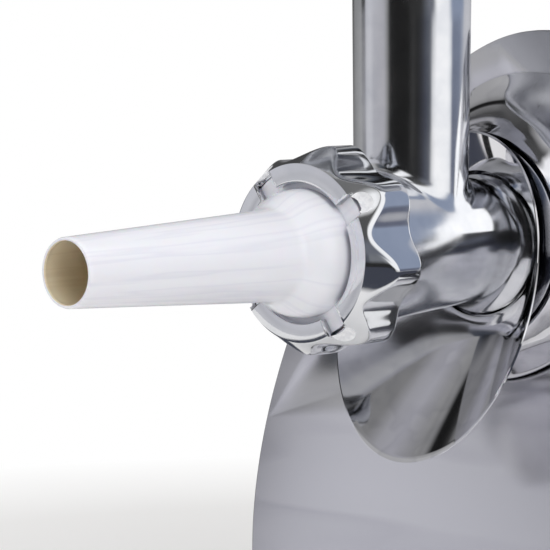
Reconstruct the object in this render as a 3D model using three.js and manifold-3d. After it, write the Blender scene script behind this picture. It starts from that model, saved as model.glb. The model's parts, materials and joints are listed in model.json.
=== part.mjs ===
// Electric meat grinder: a tabletop mincer with a sausage-filling tube on its head.
// Millimetres, +Z up, the working end faces -Y. The origin is on the table under the middle of the machine.
// Most pieces are made in the head's own frame: x to the right, s (along +Y) behind the ring nut's
// front face, z above the head's axis. One group carries that frame to its place.

import * as THREE from "three";
import { mergeVertices } from "three/addons/utils/BufferGeometryUtils.js";
import Module from "manifold-3d";

const wasm = await Module();
wasm.setup();

// Driving dimensions

const GAP = 0.3; // air kept between two pieces that touch
const AXIS_HEIGHT = 178; // head axis above the table
const TUBE_LENGTH = 116.8; // how far the sausage tube stands in front of the ring nut
const BACK_S = 303.2; // rearmost point of the machine
const FACE_Y = -(BACK_S - TUBE_LENGTH) / 2; // puts the machine's middle over the origin
const TABLE_Z = -AXIS_HEIGHT;

const PLATE_RADIUS = 31; // 62 mm mincing plate
const PLATE_THICK = 5;
const KNIFE_THICK = 4;
const RING_HOLE = 26.5;
const RING_FACE = 34; // outer radius of the ring nut's flat front face
const RING_TIP = 40.3;
const RING_VALLEY = 35.2;
const SCALLOP_RADIUS = 11;
const CONE_END = 12; // where the ring nut's front cone meets its side
const RING_DEPTH = 25;
const LIP = 3;
const LOBES = 8;
const LOBE_TURN = 36.5; // bearings of the first lobe and the first notch, in degrees
const NOTCH_TURN = 35;
const NOTCH_HALF = 4.75;

const CUP_RADIUS = 32.8; // threaded mouth of the head
const FLANGE_RADIUS = 32.4; // the filling tube is held by its flange
const BARREL_FRONT = 29.6;
const BARREL_REAR = 25;
const BORE_RADIUS = 22.7;
const SPIGOT_RADIUS = 30;
const SPIGOT_END = 122;
const BORE_END = 102;
const CHUTE_S = 64.2;
const CHUTE_RADIUS = 22.3;
const CHUTE_TOP_RADIUS = 23.2;
const CHUTE_BORE = 19.7;
const CHUTE_TOP = 108;

const SCREW_RADIUS = 22.2;
const SCREW_PITCH = 25;
const STUD_SQUARE = 8.4;
const TANG_FLATS = 13;
const SOCKET_FLATS = 13.8;

const DISH = { halfWidth: 48.3, halfHeight: 67.1, tilt: 18.2, s: 78.8, z: -21.2, hub: 30.8, hubS: 102 };
const PANEL = { halfWidth: 119, halfHeight: 166, taper: 0.155, tilt: 12.4, s: 108, z: -79, thick: 2 };
const NECK_RADIUS = 40.5;
const NECK_FOOT = 59;
const NECK_START = 104.3;
const NECK_END = 139.7;

const BODY_BOTTOM = -165;
const BASE_THICK = 4;
const SHELL_WALL = 3;
const SHELL_END = 298;
const REAR = { halfWidth: 84, halfHeight: 118, z: -86 };
const FOOT_RADIUS = 11;

const TRAY = { s: 84, z: CHUTE_TOP + GAP, height: 34, wall: 1.6, length: 150, width: 206 };

// Gear train: module in mm, teeth of wheel and pinion; axes as x, z
const OUTPUT = { x: 0, z: 0, teeth: 36, module: 2, s: 145, width: 12 };
const SECOND = { x: -24, z: -39.243, teeth: 40, pinion: 10, module: 1.5, s: 159.5, width: 9 };
const FIRST = { x: 0, z: -68.057, teeth: 36, pinion: 10, module: 1.5, s: 171, width: 7 };
const MOTOR = { x: 0, z: -101.057, teeth: 8, radius: 38, bore: 23.5, s: 200, length: 48 };

const degrees = THREE.MathUtils.degToRad;

// Solids

function solid(geometry) {
  const plain = geometry.clone();
  plain.deleteAttribute("normal");
  plain.deleteAttribute("uv");
  const merged = mergeVertices(plain, 1e-3);
  return new wasm.Manifold(
    new wasm.Mesh({
      numProp: 3,
      vertProperties: new Float32Array(merged.attributes.position.array),
      triVerts: new Uint32Array(merged.index.array),
    }),
  );
}

function geometryOf(manifold) {
  const mesh = manifold.getMesh();
  const geometry = new THREE.BufferGeometry();
  geometry.setAttribute("position", new THREE.BufferAttribute(mesh.vertProperties, 3));
  geometry.setIndex(new THREE.BufferAttribute(mesh.triVerts, 1));
  geometry.computeVertexNormals();
  return geometry;
}

function join(first, ...others) {
  const parts = others.map((other) => solid(other));
  return geometryOf(parts.reduce((whole, part) => whole.add(part), solid(first)));
}

function cut(body, ...tools) {
  const cutters = tools.map((tool) => solid(tool));
  return geometryOf(cutters.reduce((rest, tool) => rest.subtract(tool), solid(body)));
}

function common(first, second) {
  return geometryOf(solid(first).intersect(solid(second)));
}

// Moves every vertex of a closed geometry through a function, which keeps it closed.
function shaped(geometry, move) {
  const position = geometry.getAttribute("position");
  const point = new THREE.Vector3();
  for (let i = 0; i < position.count; i += 1) {
    point.fromBufferAttribute(position, i);
    move(point);
    position.setXYZ(i, point.x, point.y, point.z);
  }
  return geometry;
}

// A solid of revolution about the head's axis. Profile entries are [radius, s], from front to back.
function turned(profile, segments = 32) {
  const points = profile.map(([radius, s]) => new THREE.Vector2(radius, s));
  return new THREE.LatheGeometry(points, segments);
}

// The same about a vertical line. Profile entries are [radius, z], from the bottom up.
function upright(profile, x, s, segments = 28) {
  return turned(profile, segments).rotateX(Math.PI / 2).translate(x, s, 0);
}

// The same about a line along x. Profile entries are [radius, x], from left to right.
function sideways(profile, s, z, segments = 20) {
  return turned(profile, segments).rotateZ(-Math.PI / 2).translate(0, s, z);
}

// A flat shape in x and z, given depth along s.
function extruded(shape, from, to, curveSegments = 8) {
  const settings = { depth: to - from, bevelEnabled: false, curveSegments };
  return new THREE.ExtrudeGeometry(shape, settings).rotateX(Math.PI / 2).translate(0, to, 0);
}

function box(x0, x1, s0, s1, z0, z1) {
  const geometry = new THREE.BoxGeometry(x1 - x0, s1 - s0, z1 - z0);
  return geometry.translate((x0 + x1) / 2, (s0 + s1) / 2, (z0 + z1) / 2);
}

function cylinder(radius, from, to, segments = 24) {
  return turned([[0, from], [radius, from], [radius, to], [0, to]], segments);
}

// A closed sheet of rings. Each row is a function from an angle to a point; the rows run round the
// sheet's section and come back to the first. An upright sheet turns about z, the other kind about s.
function rings(rows, around, isUpright) {
  const spacing = 10;
  const profile = [...rows, rows[0]].map((_, i) => [spacing + (i % rows.length), 0]);
  return shaped(turned(profile, around), (point) => {
    const row = Math.round(Math.hypot(point.x, point.z)) - spacing;
    const angle = isUpright ? Math.atan2(-point.z, point.x) : Math.atan2(point.z, point.x);
    point.copy(rows[row](angle));
  });
}

// Flat shapes

function circle(radius, x = 0, y = 0) {
  return new THREE.Shape().absarc(x, y, radius, 0, 2 * Math.PI, false);
}

function withHoles(shape, holes) {
  shape.holes.push(...holes);
  return shape;
}

function polygon(points) {
  return new THREE.Shape(points.map(([x, y]) => new THREE.Vector2(x, y)));
}

function regular(sides, acrossFlats, turn = 0) {
  const radius = acrossFlats / 2 / Math.cos(Math.PI / sides);
  const corners = Array.from({ length: sides }, (_, i) => {
    const angle = turn + (2 * Math.PI * (i + 0.5)) / sides;
    return [radius * Math.cos(angle), radius * Math.sin(angle)];
  });
  return polygon(corners);
}

function roundedRectangle(x0, x1, y0, y1, corner) {
  const shape = new THREE.Shape();
  shape.moveTo(x0 + corner, y0);
  shape.absarc(x1 - corner, y0 + corner, corner, -Math.PI / 2, 0, false);
  shape.absarc(x1 - corner, y1 - corner, corner, 0, Math.PI / 2, false);
  shape.absarc(x0 + corner, y1 - corner, corner, Math.PI / 2, Math.PI, false);
  shape.absarc(x0 + corner, y0 + corner, corner, Math.PI, 1.5 * Math.PI, false);
  return shape;
}

// A spur gear's outline: slim straight-sided teeth that mesh with play. A tooth points at the turn angle.
function gearShape(teeth, module, turn) {
  const pitchRadius = (teeth * module) / 2;
  const step = (2 * Math.PI) / teeth;
  const root = pitchRadius - 1.05 * module;
  const tip = pitchRadius + 0.8 * module;
  const outline = [];
  for (let i = 0; i < teeth; i += 1) {
    const middle = turn + i * step;
    const flanks = [[root, -0.28], [tip, -0.1], [tip, 0.1], [root, 0.28]];
    for (const [radius, share] of flanks) {
      const angle = middle + share * step;
      outline.push([radius * Math.cos(angle), radius * Math.sin(angle)]);
    }
  }
  return polygon(outline);
}

// Materials

function material(color, roughness, metalness) {
  return new THREE.MeshStandardMaterial({ color, roughness, metalness });
}

const polished = material(0xd2d3d8, 0.08, 1);
const castAluminium = material(0xc9cace, 0.25, 1);
const stainless = material(0xbfc0c4, 0.3, 1);
const hardSteel = material(0x9fa1a6, 0.35, 1);
const whitePlastic = material(0xf1f1f4, 0.3, 0);
const silverPlastic = material(0xb4b5ba, 0.35, 0.1);
const darkPlastic = material(0x2c2d31, 0.5, 0);
const rubber = material(0x1c1c1e, 0.85, 0);
const copper = material(0xb4713d, 0.35, 1);
const laminations = material(0x55565a, 0.55, 1);
const nylon = material(0xe9e4d4, 0.5, 0);
const gearPlastic = material(0xd8cfb6, 0.5, 0);
const brass = material(0xb79a55, 0.35, 1);

const machine = new THREE.Group();
machine.position.set(0, FACE_Y, AXIS_HEIGHT);

function add(name, geometry, finish) {
  const mesh = new THREE.Mesh(geometry, finish);
  mesh.name = name;
  machine.add(mesh);
  return mesh;
}

// Sausage tube: a long taper that swells into a bell, with a flange held under the ring nut's lip

const TUBE_WALL = 1.9;
const TUBE_OUTSIDE = [
  [12.35, -TUBE_LENGTH],
  [14.2, -80],
  [16.4, -36],
  [17.8, -28],
  [22.4, -11],
  [24.3, LIP + GAP],
];

function sausageTube() {
  const flangeFront = LIP + GAP;
  const flangeBack = flangeFront + 2.8;
  const inside = TUBE_OUTSIDE.map(([radius, s]) => [radius - TUBE_WALL, s]).reverse();
  const last = TUBE_OUTSIDE[TUBE_OUTSIDE.length - 1][0] - TUBE_WALL;
  const profile = [
    ...TUBE_OUTSIDE,
    [FLANGE_RADIUS, flangeFront],
    [FLANGE_RADIUS, flangeBack],
    [last, flangeBack],
    ...inside,
    TUBE_OUTSIDE[0],
  ];
  return turned(profile, 24);
}

// Ring nut: a cone that widens backwards, scalloped into eight lobes, with four notches in its lip

function ringNut() {
  const body = turned(
    [
      [RING_HOLE, 0],
      [RING_FACE - 0.8, 0],
      [RING_FACE, 0.6],
      [RING_TIP, CONE_END],
      [RING_TIP, RING_DEPTH - 1],
      [RING_TIP - 1, RING_DEPTH],
      [CUP_RADIUS + GAP, RING_DEPTH],
      [CUP_RADIUS + GAP, LIP],
      [RING_HOLE, LIP],
      [RING_HOLE, 0],
    ],
    40,
  );
  const scallops = [];
  const notches = [];
  for (let i = 0; i < LOBES; i += 1) {
    const valley = degrees(LOBE_TURN + ((i + 0.5) * 360) / LOBES);
    const reach = RING_VALLEY + SCALLOP_RADIUS;
    const scallop = cylinder(SCALLOP_RADIUS, -1, RING_DEPTH + 1, 40);
    scallops.push(scallop.translate(reach * Math.cos(valley), 0, reach * Math.sin(valley)));
    if (i % 2 === 0) {
      const notch = box(RING_HOLE - 4, RING_FACE, -1, LIP + 1, -NOTCH_HALF, NOTCH_HALF);
      notches.push(notch.rotateY(-degrees(NOTCH_TURN + (i * 360) / LOBES)));
    }
  }
  return cut(body, ...scallops, ...notches);
}

// Head: threaded mouth, tapering barrel, upright feed chute and rear spigot, one casting

function grinderHead() {
  const outside = turned([
    [0, 6.9],
    [CUP_RADIUS, 6.9],
    [CUP_RADIUS, 23.5],
    [BARREL_FRONT, 28],
    [BARREL_REAR, 97],
    [BARREL_REAR + 1.2, 99.6],
    [SPIGOT_RADIUS - 1, 102.4],
    [SPIGOT_RADIUS, 104],
    [SPIGOT_RADIUS, SPIGOT_END],
    [0, SPIGOT_END],
  ]);
  const chute = upright([[0, 0], [CHUTE_RADIUS, 0], [CHUTE_TOP_RADIUS, CHUTE_TOP], [0, CHUTE_TOP]], 0, CHUTE_S);
  const mouth = cylinder(PLATE_RADIUS + GAP, 5, 11.9, 32);
  const bore = cylinder(BORE_RADIUS, 5, BORE_END, 28);
  const throat = upright([[0, 0], [CHUTE_BORE, 0], [CHUTE_BORE, CHUTE_TOP + 1], [0, CHUTE_TOP + 1]], 0, CHUTE_S, 26);
  const shaftHole = cylinder(9.6, BORE_END - 1, SPIGOT_END, 20);
  const backRoom = turned([[15.5, 110], [24, 110], [24, SPIGOT_END + 1], [0, SPIGOT_END + 1], [0, 112], [15.5, 112], [15.5, 110]], 28);
  return cut(join(outside, chute), mouth, bore, throat, shaftHole, backRoom);
}

// Mincing plate with a ring of six and a ring of twelve holes round the screw's pin

const PLATE_FRONT = 6.9;
const KNIFE_FRONT = PLATE_FRONT + PLATE_THICK + GAP;

function mincingPlate() {
  const holes = [circle(4.5)];
  const rings = [{ count: 6, radius: 12.2 }, { count: 12, radius: 22.6 }];
  for (const { count, radius } of rings) {
    for (let i = 0; i < count; i += 1) {
      const angle = (2 * Math.PI * i) / count;
      holes.push(circle(4, radius * Math.cos(angle), radius * Math.sin(angle)));
    }
  }
  const back = PLATE_FRONT + PLATE_THICK - GAP;
  return extruded(withHoles(circle(PLATE_RADIUS), holes), PLATE_FRONT, back, 4);
}

// Knife: four slanted blades on a hub with a square eye

function knife() {
  const outline = [];
  for (let i = 0; i < 4; i += 1) {
    const start = (Math.PI / 2) * i;
    const blade = [[10, -0.75], [10, -0.35], [21.8, -0.16], [21.8, 0.14], [10, 0.3]];
    for (const [radius, turn] of blade) {
      outline.push([radius * Math.cos(start + turn), radius * Math.sin(start + turn)]);
    }
  }
  const eye = new THREE.Path(regular(4, STUD_SQUARE + 2 * GAP).getPoints());
  return extruded(withHoles(polygon(outline), [eye]), KNIFE_FRONT, KNIFE_FRONT + KNIFE_THICK, 6);
}

// Feed screw: pin, square stud, helical flight, shaft and hexagonal tang

const FLIGHT_START = KNIFE_FRONT + KNIFE_THICK + 0.5;
const FLIGHT_END = 97;

function feedScrew() {
  const core = turned(
    [
      [0, PLATE_FRONT + 0.2],
      [4.1, PLATE_FRONT + 0.2],
      [4.1, KNIFE_FRONT - 0.1],
      [4.15, KNIFE_FRONT + 1],
      [4.15, FLIGHT_START],
      [9.5, FLIGHT_START],
      [13.5, FLIGHT_END],
      [13.5, 99],
      [9.2, 99],
      [9.2, 112.6],
      [0, 112.6],
    ],
    18,
  );
  const stud = extruded(regular(4, STUD_SQUARE), KNIFE_FRONT - 0.1, FLIGHT_START + 1);
  const tang = extruded(regular(6, TANG_FLATS), 112, 136);
  const turns = (FLIGHT_END - FLIGHT_START - 4) / SCREW_PITCH;
  const steps = Math.round(turns * 11);
  const flight = shaped(new THREE.BoxGeometry(1, 1, 1, 1, 1, steps), (point) => {
    const along = point.z + 0.5;
    const angle = 2 * Math.PI * turns * along;
    const radius = THREE.MathUtils.lerp(8, SCREW_RADIUS, point.x + 0.5);
    const thick = THREE.MathUtils.lerp(4.6, 2.6, point.x + 0.5);
    const s = FLIGHT_START + 2 + turns * SCREW_PITCH * along + point.y * thick;
    point.set(radius * Math.cos(angle), s, radius * Math.sin(angle));
  });
  return join(core, stud, tang, flight);
}

function thrustWasher() {
  return turned([[9.6, 99.3], [17, 99.3], [17, 101.6], [9.6, 101.6], [9.6, 99.3]], 24);
}

// Splash dish: a mirror-finished oval bowl, open to the front, that leans back round the barrel

function dishPoint(angle, reach) {
  const lean = degrees(DISH.tilt);
  const up = DISH.halfHeight * Math.sin(angle);
  const rimS = DISH.s + up * Math.sin(lean);
  const rimX = DISH.halfWidth * Math.cos(angle);
  const rimZ = DISH.z + up * Math.cos(lean);
  return new THREE.Vector3(
    THREE.MathUtils.lerp(DISH.hub * Math.cos(angle), rimX, reach),
    THREE.MathUtils.lerp(DISH.hubS, rimS, reach ** 1.7),
    THREE.MathUtils.lerp(DISH.hub * Math.sin(angle), rimZ, reach),
  );
}

function splashDish() {
  const steps = 4;
  const wall = 1.8;
  const front = Array.from({ length: steps + 1 }, (_, i) => (angle) => dishPoint(angle, i / steps));
  const back = front.map((row, i) => (angle) => {
    const spread = (i / steps) * wall * 0.6;
    return row(angle).add(new THREE.Vector3(spread * Math.cos(angle), wall - spread * 0.7, spread * Math.sin(angle)));
  });
  return rings([...front, ...back.reverse()], 32, false);
}

// Front panel: an egg-shaped polished sheet that leans back and stands on the base

function leanBack(geometry) {
  return geometry.rotateX(-degrees(PANEL.tilt)).translate(0, PANEL.s, PANEL.z);
}

function panelOutline() {
  const lowest = (BODY_BOTTOM + PANEL.thick / 3 - PANEL.z) / Math.cos(degrees(PANEL.tilt)) / PANEL.halfHeight;
  const start = Math.asin(lowest);
  const steps = 36;
  const points = Array.from({ length: steps + 1 }, (_, i) => {
    const angle = start + ((Math.PI - 2 * start) * i) / steps;
    const width = PANEL.halfWidth * (1 - PANEL.taper * Math.sin(angle));
    return [width * Math.cos(angle), PANEL.halfHeight * Math.sin(angle)];
  });
  return polygon(points);
}

function frontPanel() {
  const sheet = leanBack(extruded(panelOutline(), 0, PANEL.thick));
  return cut(sheet, cylinder(NECK_RADIUS + GAP, 90, 160, 40));
}

// Neck: a straight collar that takes the head's spigot, and a trumpet cover that spreads on to the panel

const CLAMP_S = 110;
const CLAMP_SCREW = 3;
const CLAMP_HOLE = CLAMP_SCREW + 0.4;

function sidewaysCylinder(radius, from, to, s, z, segments = 20) {
  return sideways([[0, from], [radius, from], [radius, to], [0, to]], s, z, segments);
}

function neckCollar() {
  const hubRoom = 15.5;
  const sleeve = turned([
    [SPIGOT_RADIUS + GAP, NECK_START],
    [NECK_RADIUS, NECK_START],
    [NECK_RADIUS, NECK_END],
    [hubRoom, NECK_END],
    [hubRoom, NECK_END - 8],
    [SPIGOT_RADIUS + GAP, NECK_END - 8],
    [SPIGOT_RADIUS + GAP, NECK_START],
  ]);
  const screwHole = sidewaysCylinder(CLAMP_HOLE, -60, 0, CLAMP_S, 0);
  const padPocket = sidewaysCylinder(5.6, -37.5, 0, CLAMP_S, 0);
  return cut(sleeve, screwHole, padPocket);
}

function neckCover() {
  const bell = turned(
    [
      [0, NECK_START + 0.2],
      [42.8, NECK_START + 0.2],
      [43.6, 110],
      [45.4, 117],
      [48.5, 124],
      [53, 130],
      [58.5, 134.5],
      [66, 138],
      [66, 160],
      [0, 160],
    ],
    32,
  );
  const centre = -PANEL.z / Math.cos(degrees(PANEL.tilt));
  const foot = leanBack(extruded(circle(NECK_FOOT, 0, centre), -2.4, 4, 16));
  const behindPanel = leanBack(box(-200, 200, -GAP, 300, -250, 250));
  const inside = cylinder(NECK_RADIUS + GAP, 90, 170, 40);
  const screwHole = sidewaysCylinder(CLAMP_HOLE, -80, 0, CLAMP_S, 0);
  return cut(join(bell, foot), inside, behindPanel, screwHole);
}

// Clamp screw: a knob outside the neck turns it, and a swivel pad on its end presses on the spigot

function clampPad() {
  return sidewaysCylinder(5.2, -34.6, -30.8, CLAMP_S, 0);
}

function clampKnob() {
  const screw = sidewaysCylinder(CLAMP_SCREW, -66, -35, CLAMP_S, 0, 16);
  const grip = sideways(
    [[0, -80], [8.5, -80], [10.5, -77], [10.5, -66], [6, -64], [6, -60], [0, -60]],
    CLAMP_S,
    0,
  );
  return join(screw, grip);
}

// Hopper tray: a round spigot opens into a rounded oblong bowl with a rolled edge

function trayRow(radius, z, spread, outset) {
  return (angle) => {
    const halfWidth = TRAY.width / 2 + outset;
    const halfLength = TRAY.length / 2 + outset;
    const power = 0.5;
    const c = Math.cos(angle);
    const d = Math.sin(angle);
    const x = halfWidth * Math.sign(c) * Math.abs(c) ** power;
    const s = halfLength * Math.sign(d) * Math.abs(d) ** power;
    return new THREE.Vector3(
      THREE.MathUtils.lerp(radius * c, x, spread),
      THREE.MathUtils.lerp(CHUTE_S + radius * d, TRAY.s + s, spread),
      z,
    );
  };
}

function hopperTray() {
  const spigot = CHUTE_BORE - GAP;
  const bore = spigot - 1;
  const wall = TRAY.wall;
  const low = TRAY.z;
  const high = TRAY.z + TRAY.height;
  return rings(
    [
      trayRow(bore, low - 14, 0, 0),
      trayRow(spigot, low - 14, 0, 0),
      trayRow(spigot, low, 0, 0),
      trayRow(CHUTE_TOP_RADIUS, low, 0, 0),
      trayRow(CHUTE_TOP_RADIUS, low + 1, 0.6, 0),
      trayRow(CHUTE_TOP_RADIUS, low + 6, 0.74, 0),
      trayRow(CHUTE_TOP_RADIUS, high - 4, 0.93, 0),
      trayRow(CHUTE_TOP_RADIUS, high - 3, 1, 0),
      trayRow(CHUTE_TOP_RADIUS, high, 1, 0),
      trayRow(CHUTE_TOP_RADIUS, high, 0.94, -wall),
      trayRow(CHUTE_TOP_RADIUS, low + 8, 0.72, -wall),
      trayRow(CHUTE_TOP_RADIUS, low + 1 + wall, 0.58, 0),
      trayRow(bore, low + wall, 0, 0),
    ],
    30,
    true,
  );
}

const PUSHER_BOTTOM = 62;

function foodPusher() {
  const collar = TRAY.z + TRAY.wall + 2.4;
  return upright(
    [
      [0, PUSHER_BOTTOM],
      [16.4, PUSHER_BOTTOM],
      [17.9, PUSHER_BOTTOM + 3],
      [17.9, collar],
      [26, collar],
      [27, collar + 2],
      [26, collar + 5],
      [15, collar + 9],
      [13.5, collar + 30],
      [16, collar + 44],
      [21, collar + 50],
      [21, collar + 55],
      [17, collar + 59],
      [0, collar + 61],
    ],
    0,
    CHUTE_S,
    20,
  );
}

// Housing: a smooth shell between the panel's outline and a smaller rear end

const SHELL_FRONT = PANEL.s + PANEL.thick + GAP;

function sectionAt(share, inset) {
  const ease = Math.sign(share) * Math.abs(share) ** 1.6;
  return {
    s: THREE.MathUtils.lerp(SHELL_FRONT, SHELL_END, share),
    z: THREE.MathUtils.lerp(PANEL.z, REAR.z, ease),
    halfWidth: THREE.MathUtils.lerp(PANEL.halfWidth, REAR.halfWidth, ease) - inset,
    halfHeight: THREE.MathUtils.lerp(PANEL.halfHeight, REAR.halfHeight, ease) - inset,
    lean: degrees(PANEL.tilt * Math.max(0, 1 - share)),
  };
}

function sectionPoint(section, angle) {
  const up = section.halfHeight * Math.sin(angle);
  const width = section.halfWidth * (1 - PANEL.taper * Math.sin(angle));
  return new THREE.Vector3(
    width * Math.cos(angle),
    section.s + up * Math.sin(section.lean),
    section.z + up * Math.cos(section.lean),
  );
}

// The angle at which a section's outline meets a floor
function floorAngle(section, floor) {
  return Math.asin((floor - section.z) / Math.cos(section.lean) / section.halfHeight);
}

// A section's closed edge: along the floor from its middle, then up and over. Turn runs from 0 to 1.
const SHELL_SIDES = 30;
const FLOOR_SHARE = 2 / SHELL_SIDES;

function sectionEdge(section, turn, floor) {
  const low = floorAngle(section, floor);
  const corner = sectionPoint(section, low);
  if (turn < FLOOR_SHARE) return corner.setX((corner.x * turn) / FLOOR_SHARE);
  if (turn > 1 - FLOOR_SHARE) return corner.setX((-corner.x * (1 - turn)) / FLOOR_SHARE);
  const share = (turn - FLOOR_SHARE) / (1 - 2 * FLOOR_SHARE);
  return sectionPoint(section, THREE.MathUtils.lerp(low, Math.PI - low, share));
}

function shellLoft(inset, floor, from, to, steps) {
  const blank = new THREE.CylinderGeometry(1, 1, 1, SHELL_SIDES, steps);
  return shaped(blank, (point) => {
    const section = sectionAt(THREE.MathUtils.lerp(from, to, 0.5 + point.y), inset);
    const turn = Math.atan2(point.x, -point.z) / (2 * Math.PI);
    const edge = sectionEdge(section, THREE.MathUtils.euclideanModulo(turn, 1), floor);
    const centre = new THREE.Vector3(0, section.s, section.z);
    point.copy(centre.lerp(edge, Math.hypot(point.x, point.z)));
  });
}

// Controls on the side of the shell, where the operator's hand is
const CONTROL_Z = -62;
const ROCKER = { s: 214, halfLength: 15, halfHeight: 11, x: 97 };
const REVERSE = { s: 247, radius: 8, x: 95 };

// Screws that hold the rear cover: places in x and z
const COVER_SCREWS = [[-56, -24], [56, -24], [-66, -132], [66, -132]];
const COVER_FRONT = SHELL_END + GAP;

function housingShell() {
  const outside = shellLoft(0, BODY_BOTTOM, 0, 1, 7);
  const inside = shellLoft(SHELL_WALL, BODY_BOTTOM - 20, -1 / 7, 8 / 7, 9);
  const shell = cut(outside, inside);
  const bosses = COVER_SCREWS.map(([x, z]) => {
    const boss = cylinder(7, SHELL_END - 16, SHELL_END, 16).translate(x, 0, z);
    const web = box(Math.min(x, x * 1.5), Math.max(x, x * 1.5), SHELL_END - 16, SHELL_END, z - 2, z + 2);
    return common(join(boss, web), outside);
  });
  const { s, halfLength, halfHeight } = ROCKER;
  const window = box(
    60,
    140,
    s - halfLength - GAP,
    s + halfLength + GAP,
    CONTROL_Z - halfHeight - GAP,
    CONTROL_Z + halfHeight + GAP,
  );
  const reverseHole = sidewaysCylinder(REVERSE.radius + 3 + GAP, 60, 140, REVERSE.s, CONTROL_Z);
  const pilots = COVER_SCREWS.map(([x, z]) => cylinder(1.9, SHELL_END - 14, SHELL_END + 1, 12).translate(x, 0, z));
  return cut(join(shell, ...bosses), window, reverseHole, ...pilots);
}

const INLET = { x: 38, z: -128, halfWidth: 13.5, halfHeight: 10 };
const RESET = { x: -38, z: -128, radius: 4 };

function rearCover() {
  const thickness = (BACK_S - COVER_FRONT) / (SHELL_END - SHELL_FRONT);
  const start = 1 + GAP / (SHELL_END - SHELL_FRONT);
  const plate = shellLoft(0, BODY_BOTTOM, start, start + thickness, 1);
  const slots = Array.from({ length: 7 }, (_, i) => {
    const z = -102 + i * 12;
    const half = 44 - Math.abs(i - 3) * 4;
    return box(-half, half, SHELL_END, BACK_S + 1, z - 1.8, z + 1.8);
  });
  const { x, z, halfWidth, halfHeight } = INLET;
  const inletHole = box(
    x - halfWidth - GAP,
    x + halfWidth + GAP,
    SHELL_END - 2,
    BACK_S + 2,
    z - halfHeight - GAP,
    z + halfHeight + GAP,
  );
  const resetHole = cylinder(RESET.radius + GAP, SHELL_END, BACK_S + 1, 20).translate(RESET.x, 0, RESET.z);
  const holes = COVER_SCREWS.flatMap(([holeX, holeZ]) => [
    cylinder(2.3, SHELL_END, BACK_S + 1, 12).translate(holeX, 0, holeZ),
    cylinder(4, BACK_S - 2.4, BACK_S + 1, 16).translate(holeX, 0, holeZ),
  ]);
  return cut(plate, ...slots, inletHole, resetHole, ...holes);
}

function coverScrew(x, z) {
  const shank = cylinder(1.6, SHELL_END - 10, BACK_S - 1.8, 10);
  const head = cylinder(3.6, BACK_S - 2.1, BACK_S - 0.3, 16);
  return join(shank, head).translate(x, 0, z);
}

function mainsInlet() {
  const { x, z, halfWidth, halfHeight } = INLET;
  const body = box(x - halfWidth, x + halfWidth, 282, BACK_S - 0.2, z - halfHeight, z + halfHeight);
  const well = box(x - halfWidth + 2, x + halfWidth - 2, 286, BACK_S + 1, z - halfHeight + 2, z + halfHeight - 2);
  const pins = [[-6.5, -1.5], [0, 2.5], [6.5, -1.5]].map(([dx, dz]) =>
    box(x + dx - 1, x + dx + 1, 285, BACK_S - 3, z + dz - 2, z + dz + 2),
  );
  return join(cut(body, well), ...pins);
}

function resetButton() {
  return cylinder(RESET.radius, SHELL_END - 6, BACK_S - 0.6, 20).translate(RESET.x, 0, RESET.z);
}

// Base plate: a plinth a little wider than the shell, with four feet under it

const PLINTH = 2;
const BASE_TOP = BODY_BOTTOM - GAP;
const FOOT_TOP = BASE_TOP - BASE_THICK - GAP;
const FEET = [[-88, 112], [88, 112], [-62, 278], [62, 278]];

function basePlate() {
  const shares = Array.from({ length: 9 }, (_, i) => i / 8);
  const side = shares.map((share) => {
    const section = sectionAt(share, 0);
    const edge = sectionPoint(section, floorAngle(section, BODY_BOTTOM));
    return [edge.x + PLINTH, edge.y];
  });
  side[0][1] -= PANEL.thick + PLINTH + 1;
  side[side.length - 1][1] = BACK_S - 0.2;
  const outline = [...side, ...side.map(([x, s]) => [-x, s]).reverse()];
  return new THREE.ExtrudeGeometry(polygon(outline), { depth: BASE_THICK, bevelEnabled: false }).translate(
    0,
    0,
    BASE_TOP - BASE_THICK,
  );
}

function foot(x, s) {
  const profile = [[0, TABLE_Z], [FOOT_RADIUS - 1, TABLE_Z], [FOOT_RADIUS, TABLE_Z + 1.5], [FOOT_RADIUS, FOOT_TOP], [0, FOOT_TOP]];
  return upright(profile, x, s, 24);
}

// Gearbox and its gears

const CASE = { front: 140, back: 181, wall: 3, x0: -62, x1: 44, z0: -114, z1: 42, corner: 14 };
const AXLE_RADIUS = 3.8;
const OUTPUT_HUB = 12.5;

function caseOutline(inset) {
  const { x0, x1, z0, z1, corner } = CASE;
  return roundedRectangle(x0 + inset, x1 - inset, z0 + inset, z1 - inset, corner - inset);
}

function axleHole(axis, from, to) {
  return cylinder(AXLE_RADIUS + GAP, from, to, 16).translate(axis.x, 0, axis.z);
}

function gearboxCase() {
  const body = extruded(caseOutline(0), CASE.front, CASE.back, 3);
  const room = extruded(caseOutline(CASE.wall), CASE.front + CASE.wall, CASE.back + 1, 3);
  const bearingSeat = cylinder(20.3, CASE.front - 1, CASE.front + CASE.wall + 1, 28);
  const seats = [SECOND, FIRST].map((axis) => axleHole(axis, CASE.front - 1, CASE.front + CASE.wall + 1));
  return cut(body, room, bearingSeat, ...seats);
}

function gearboxCover() {
  const plate = extruded(caseOutline(0), CASE.back + GAP, CASE.back + GAP + CASE.wall, 3);
  const holes = [SECOND, FIRST].map((axis) => axleHole(axis, CASE.back, CASE.back + 5));
  const outputHole = cylinder(6.4, CASE.back, CASE.back + 5, 16);
  const motorHole = cylinder(6.2, CASE.back, CASE.back + 5, 16).translate(MOTOR.x, 0, MOTOR.z);
  return cut(plate, outputHole, motorHole, ...holes);
}

function axle(axis) {
  return cylinder(AXLE_RADIUS, CASE.front + 0.4, CASE.back + CASE.wall, 16).translate(axis.x, 0, axis.z);
}

// Direction from one gear's axis to another's
function bearing(from, to) {
  return Math.atan2(to.z - from.z, to.x - from.x);
}

// A tooth of the driven wheel points at its neighbour, whose own outline is turned half a tooth aside.
function wheel(axis, teeth, module, s, width, turn) {
  return extruded(gearShape(teeth, module, turn), s, s + width).translate(axis.x, 0, axis.z);
}

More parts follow.
